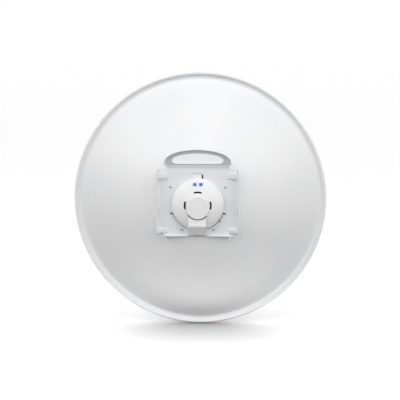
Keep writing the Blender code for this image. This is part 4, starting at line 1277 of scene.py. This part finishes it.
def camera():
    """The photograph's viewpoint: behind the dish, a little above it and to its right."""
    forward = Vector((-sin(CAMERA_AZIMUTH) * cos(CAMERA_ELEVATION),
                      cos(CAMERA_AZIMUTH) * cos(CAMERA_ELEVATION),
                      -sin(CAMERA_ELEVATION)))
    turn = forward.to_track_quat("-Z", "Y")
    up = turn @ Vector((0, 1, 0))
    right = turn @ Vector((1, 0, 0))
    rim_centre = Vector((0.0, RIM_FORWARD, -ORIGIN_ABOVE_AXIS))
    target = rim_centre - up * AIM_BELOW_RIM_CENTRE - right * AIM_LEFT_OF_RIM_CENTRE
    data = bpy.data.cameras.new("camera")
    data.sensor_width = SENSOR_WIDTH
    data.lens = SENSOR_WIDTH * CAMERA_DISTANCE / FRAME_WIDTH
    item = linked("camera", data)
    item.location = target - forward * CAMERA_DISTANCE
    item.rotation_euler = turn.to_euler()
    bpy.context.scene.camera = item


def sky():
    """A plain studio: dark below and overhead, white at the horizon and brightest halfway up."""
    world = bpy.data.worlds.new("studio")
    bpy.context.scene.world = world
    world.use_nodes = True
    tree = world.node_tree
    place = tree.nodes.new("ShaderNodeTexCoord").outputs["Generated"]
    up = add_node(tree, "SeparateXYZ", {"Vector": place}).outputs["Z"]
    height = add_node(tree, "MapRange", {"Value": up, "From Min": -1.0}).outputs["Result"]
    tone = add_node(tree, "ValToRGB", {"Fac": height})
    elements = tone.color_ramp.elements
    while len(elements) < len(SKY):
        elements.new(0.5)
    for element, (z, value) in zip(elements, SKY):
        element.position = (z + 1) / 2
        element.color = (value / SKY_PEAK,) * 3 + (1.0,)
    fill(tree, tree.nodes["Background"], {"Color": tone.outputs["Color"], "Strength": SKY_PEAK})


def softbox(name, place, target, size, power):
    """A rectangular light that the camera doesn't see."""
    data = bpy.data.lights.new(name, "AREA")
    data.shape = "RECTANGLE"
    data.size, data.size_y = size
    data.energy = power
    item = linked(name, data)
    item.location = place
    item.rotation_euler = (Vector(target) - Vector(place)).to_track_quat("-Z", "Y").to_euler()
    item.visible_camera = False


def floor():
    """A wide pale floor with a soft sheen, and a painted contact shadow that darkens it close to
    what stands on it.
    """
    corners = ((-1, -1), (1, -1), (1, 1), (-1, 1))
    mesh = bpy.data.meshes.new("floor")
    mesh.from_pydata([(x * FLOOR_HALF, y * FLOOR_HALF, FLOOR_HEIGHT) for x, y in corners], [],
                     [(0, 1, 2, 3)])
    made, tree, shader, place = new_material("floor_white")
    tone = ramp(tree, noise(tree, place, 1.2, 3.0), *FLOOR_TONES)
    # Painted contact shadow: ambient occlusion darkens the floor's colour and glow near the dish.
    for reach in PAINTED_SHADOW_REACHES:
        settings = {"Color": tone, "Distance": reach}
        tone = add_node(tree, "AmbientOcclusion", settings).outputs["Color"]
    fill(tree, shader, {"Base Color": tone, "Emission Color": tone,
                        "Emission Strength": FLOOR_GLOW, "Roughness": FLOOR_ROUGHNESS,
                        "Specular IOR Level": 0.3})
    mesh.materials.append(made)
    item = linked("floor", mesh)
    item.visible_diffuse = False


FINISHES = finishes()
reflector()
back_plate()
plate_rivets()
bayonet_ring()
rear_housing()
led_window()
rear_disc()
port_cover()
cable_hood()
network_port()
radio_core()
feed_collar()
collar_screws()
feed_tube()
feed_head()
camera()
sky()
for values in SOFTBOXES:
    softbox(*values)
floor()
bpy.context.scene.view_settings.view_transform = "Standard"
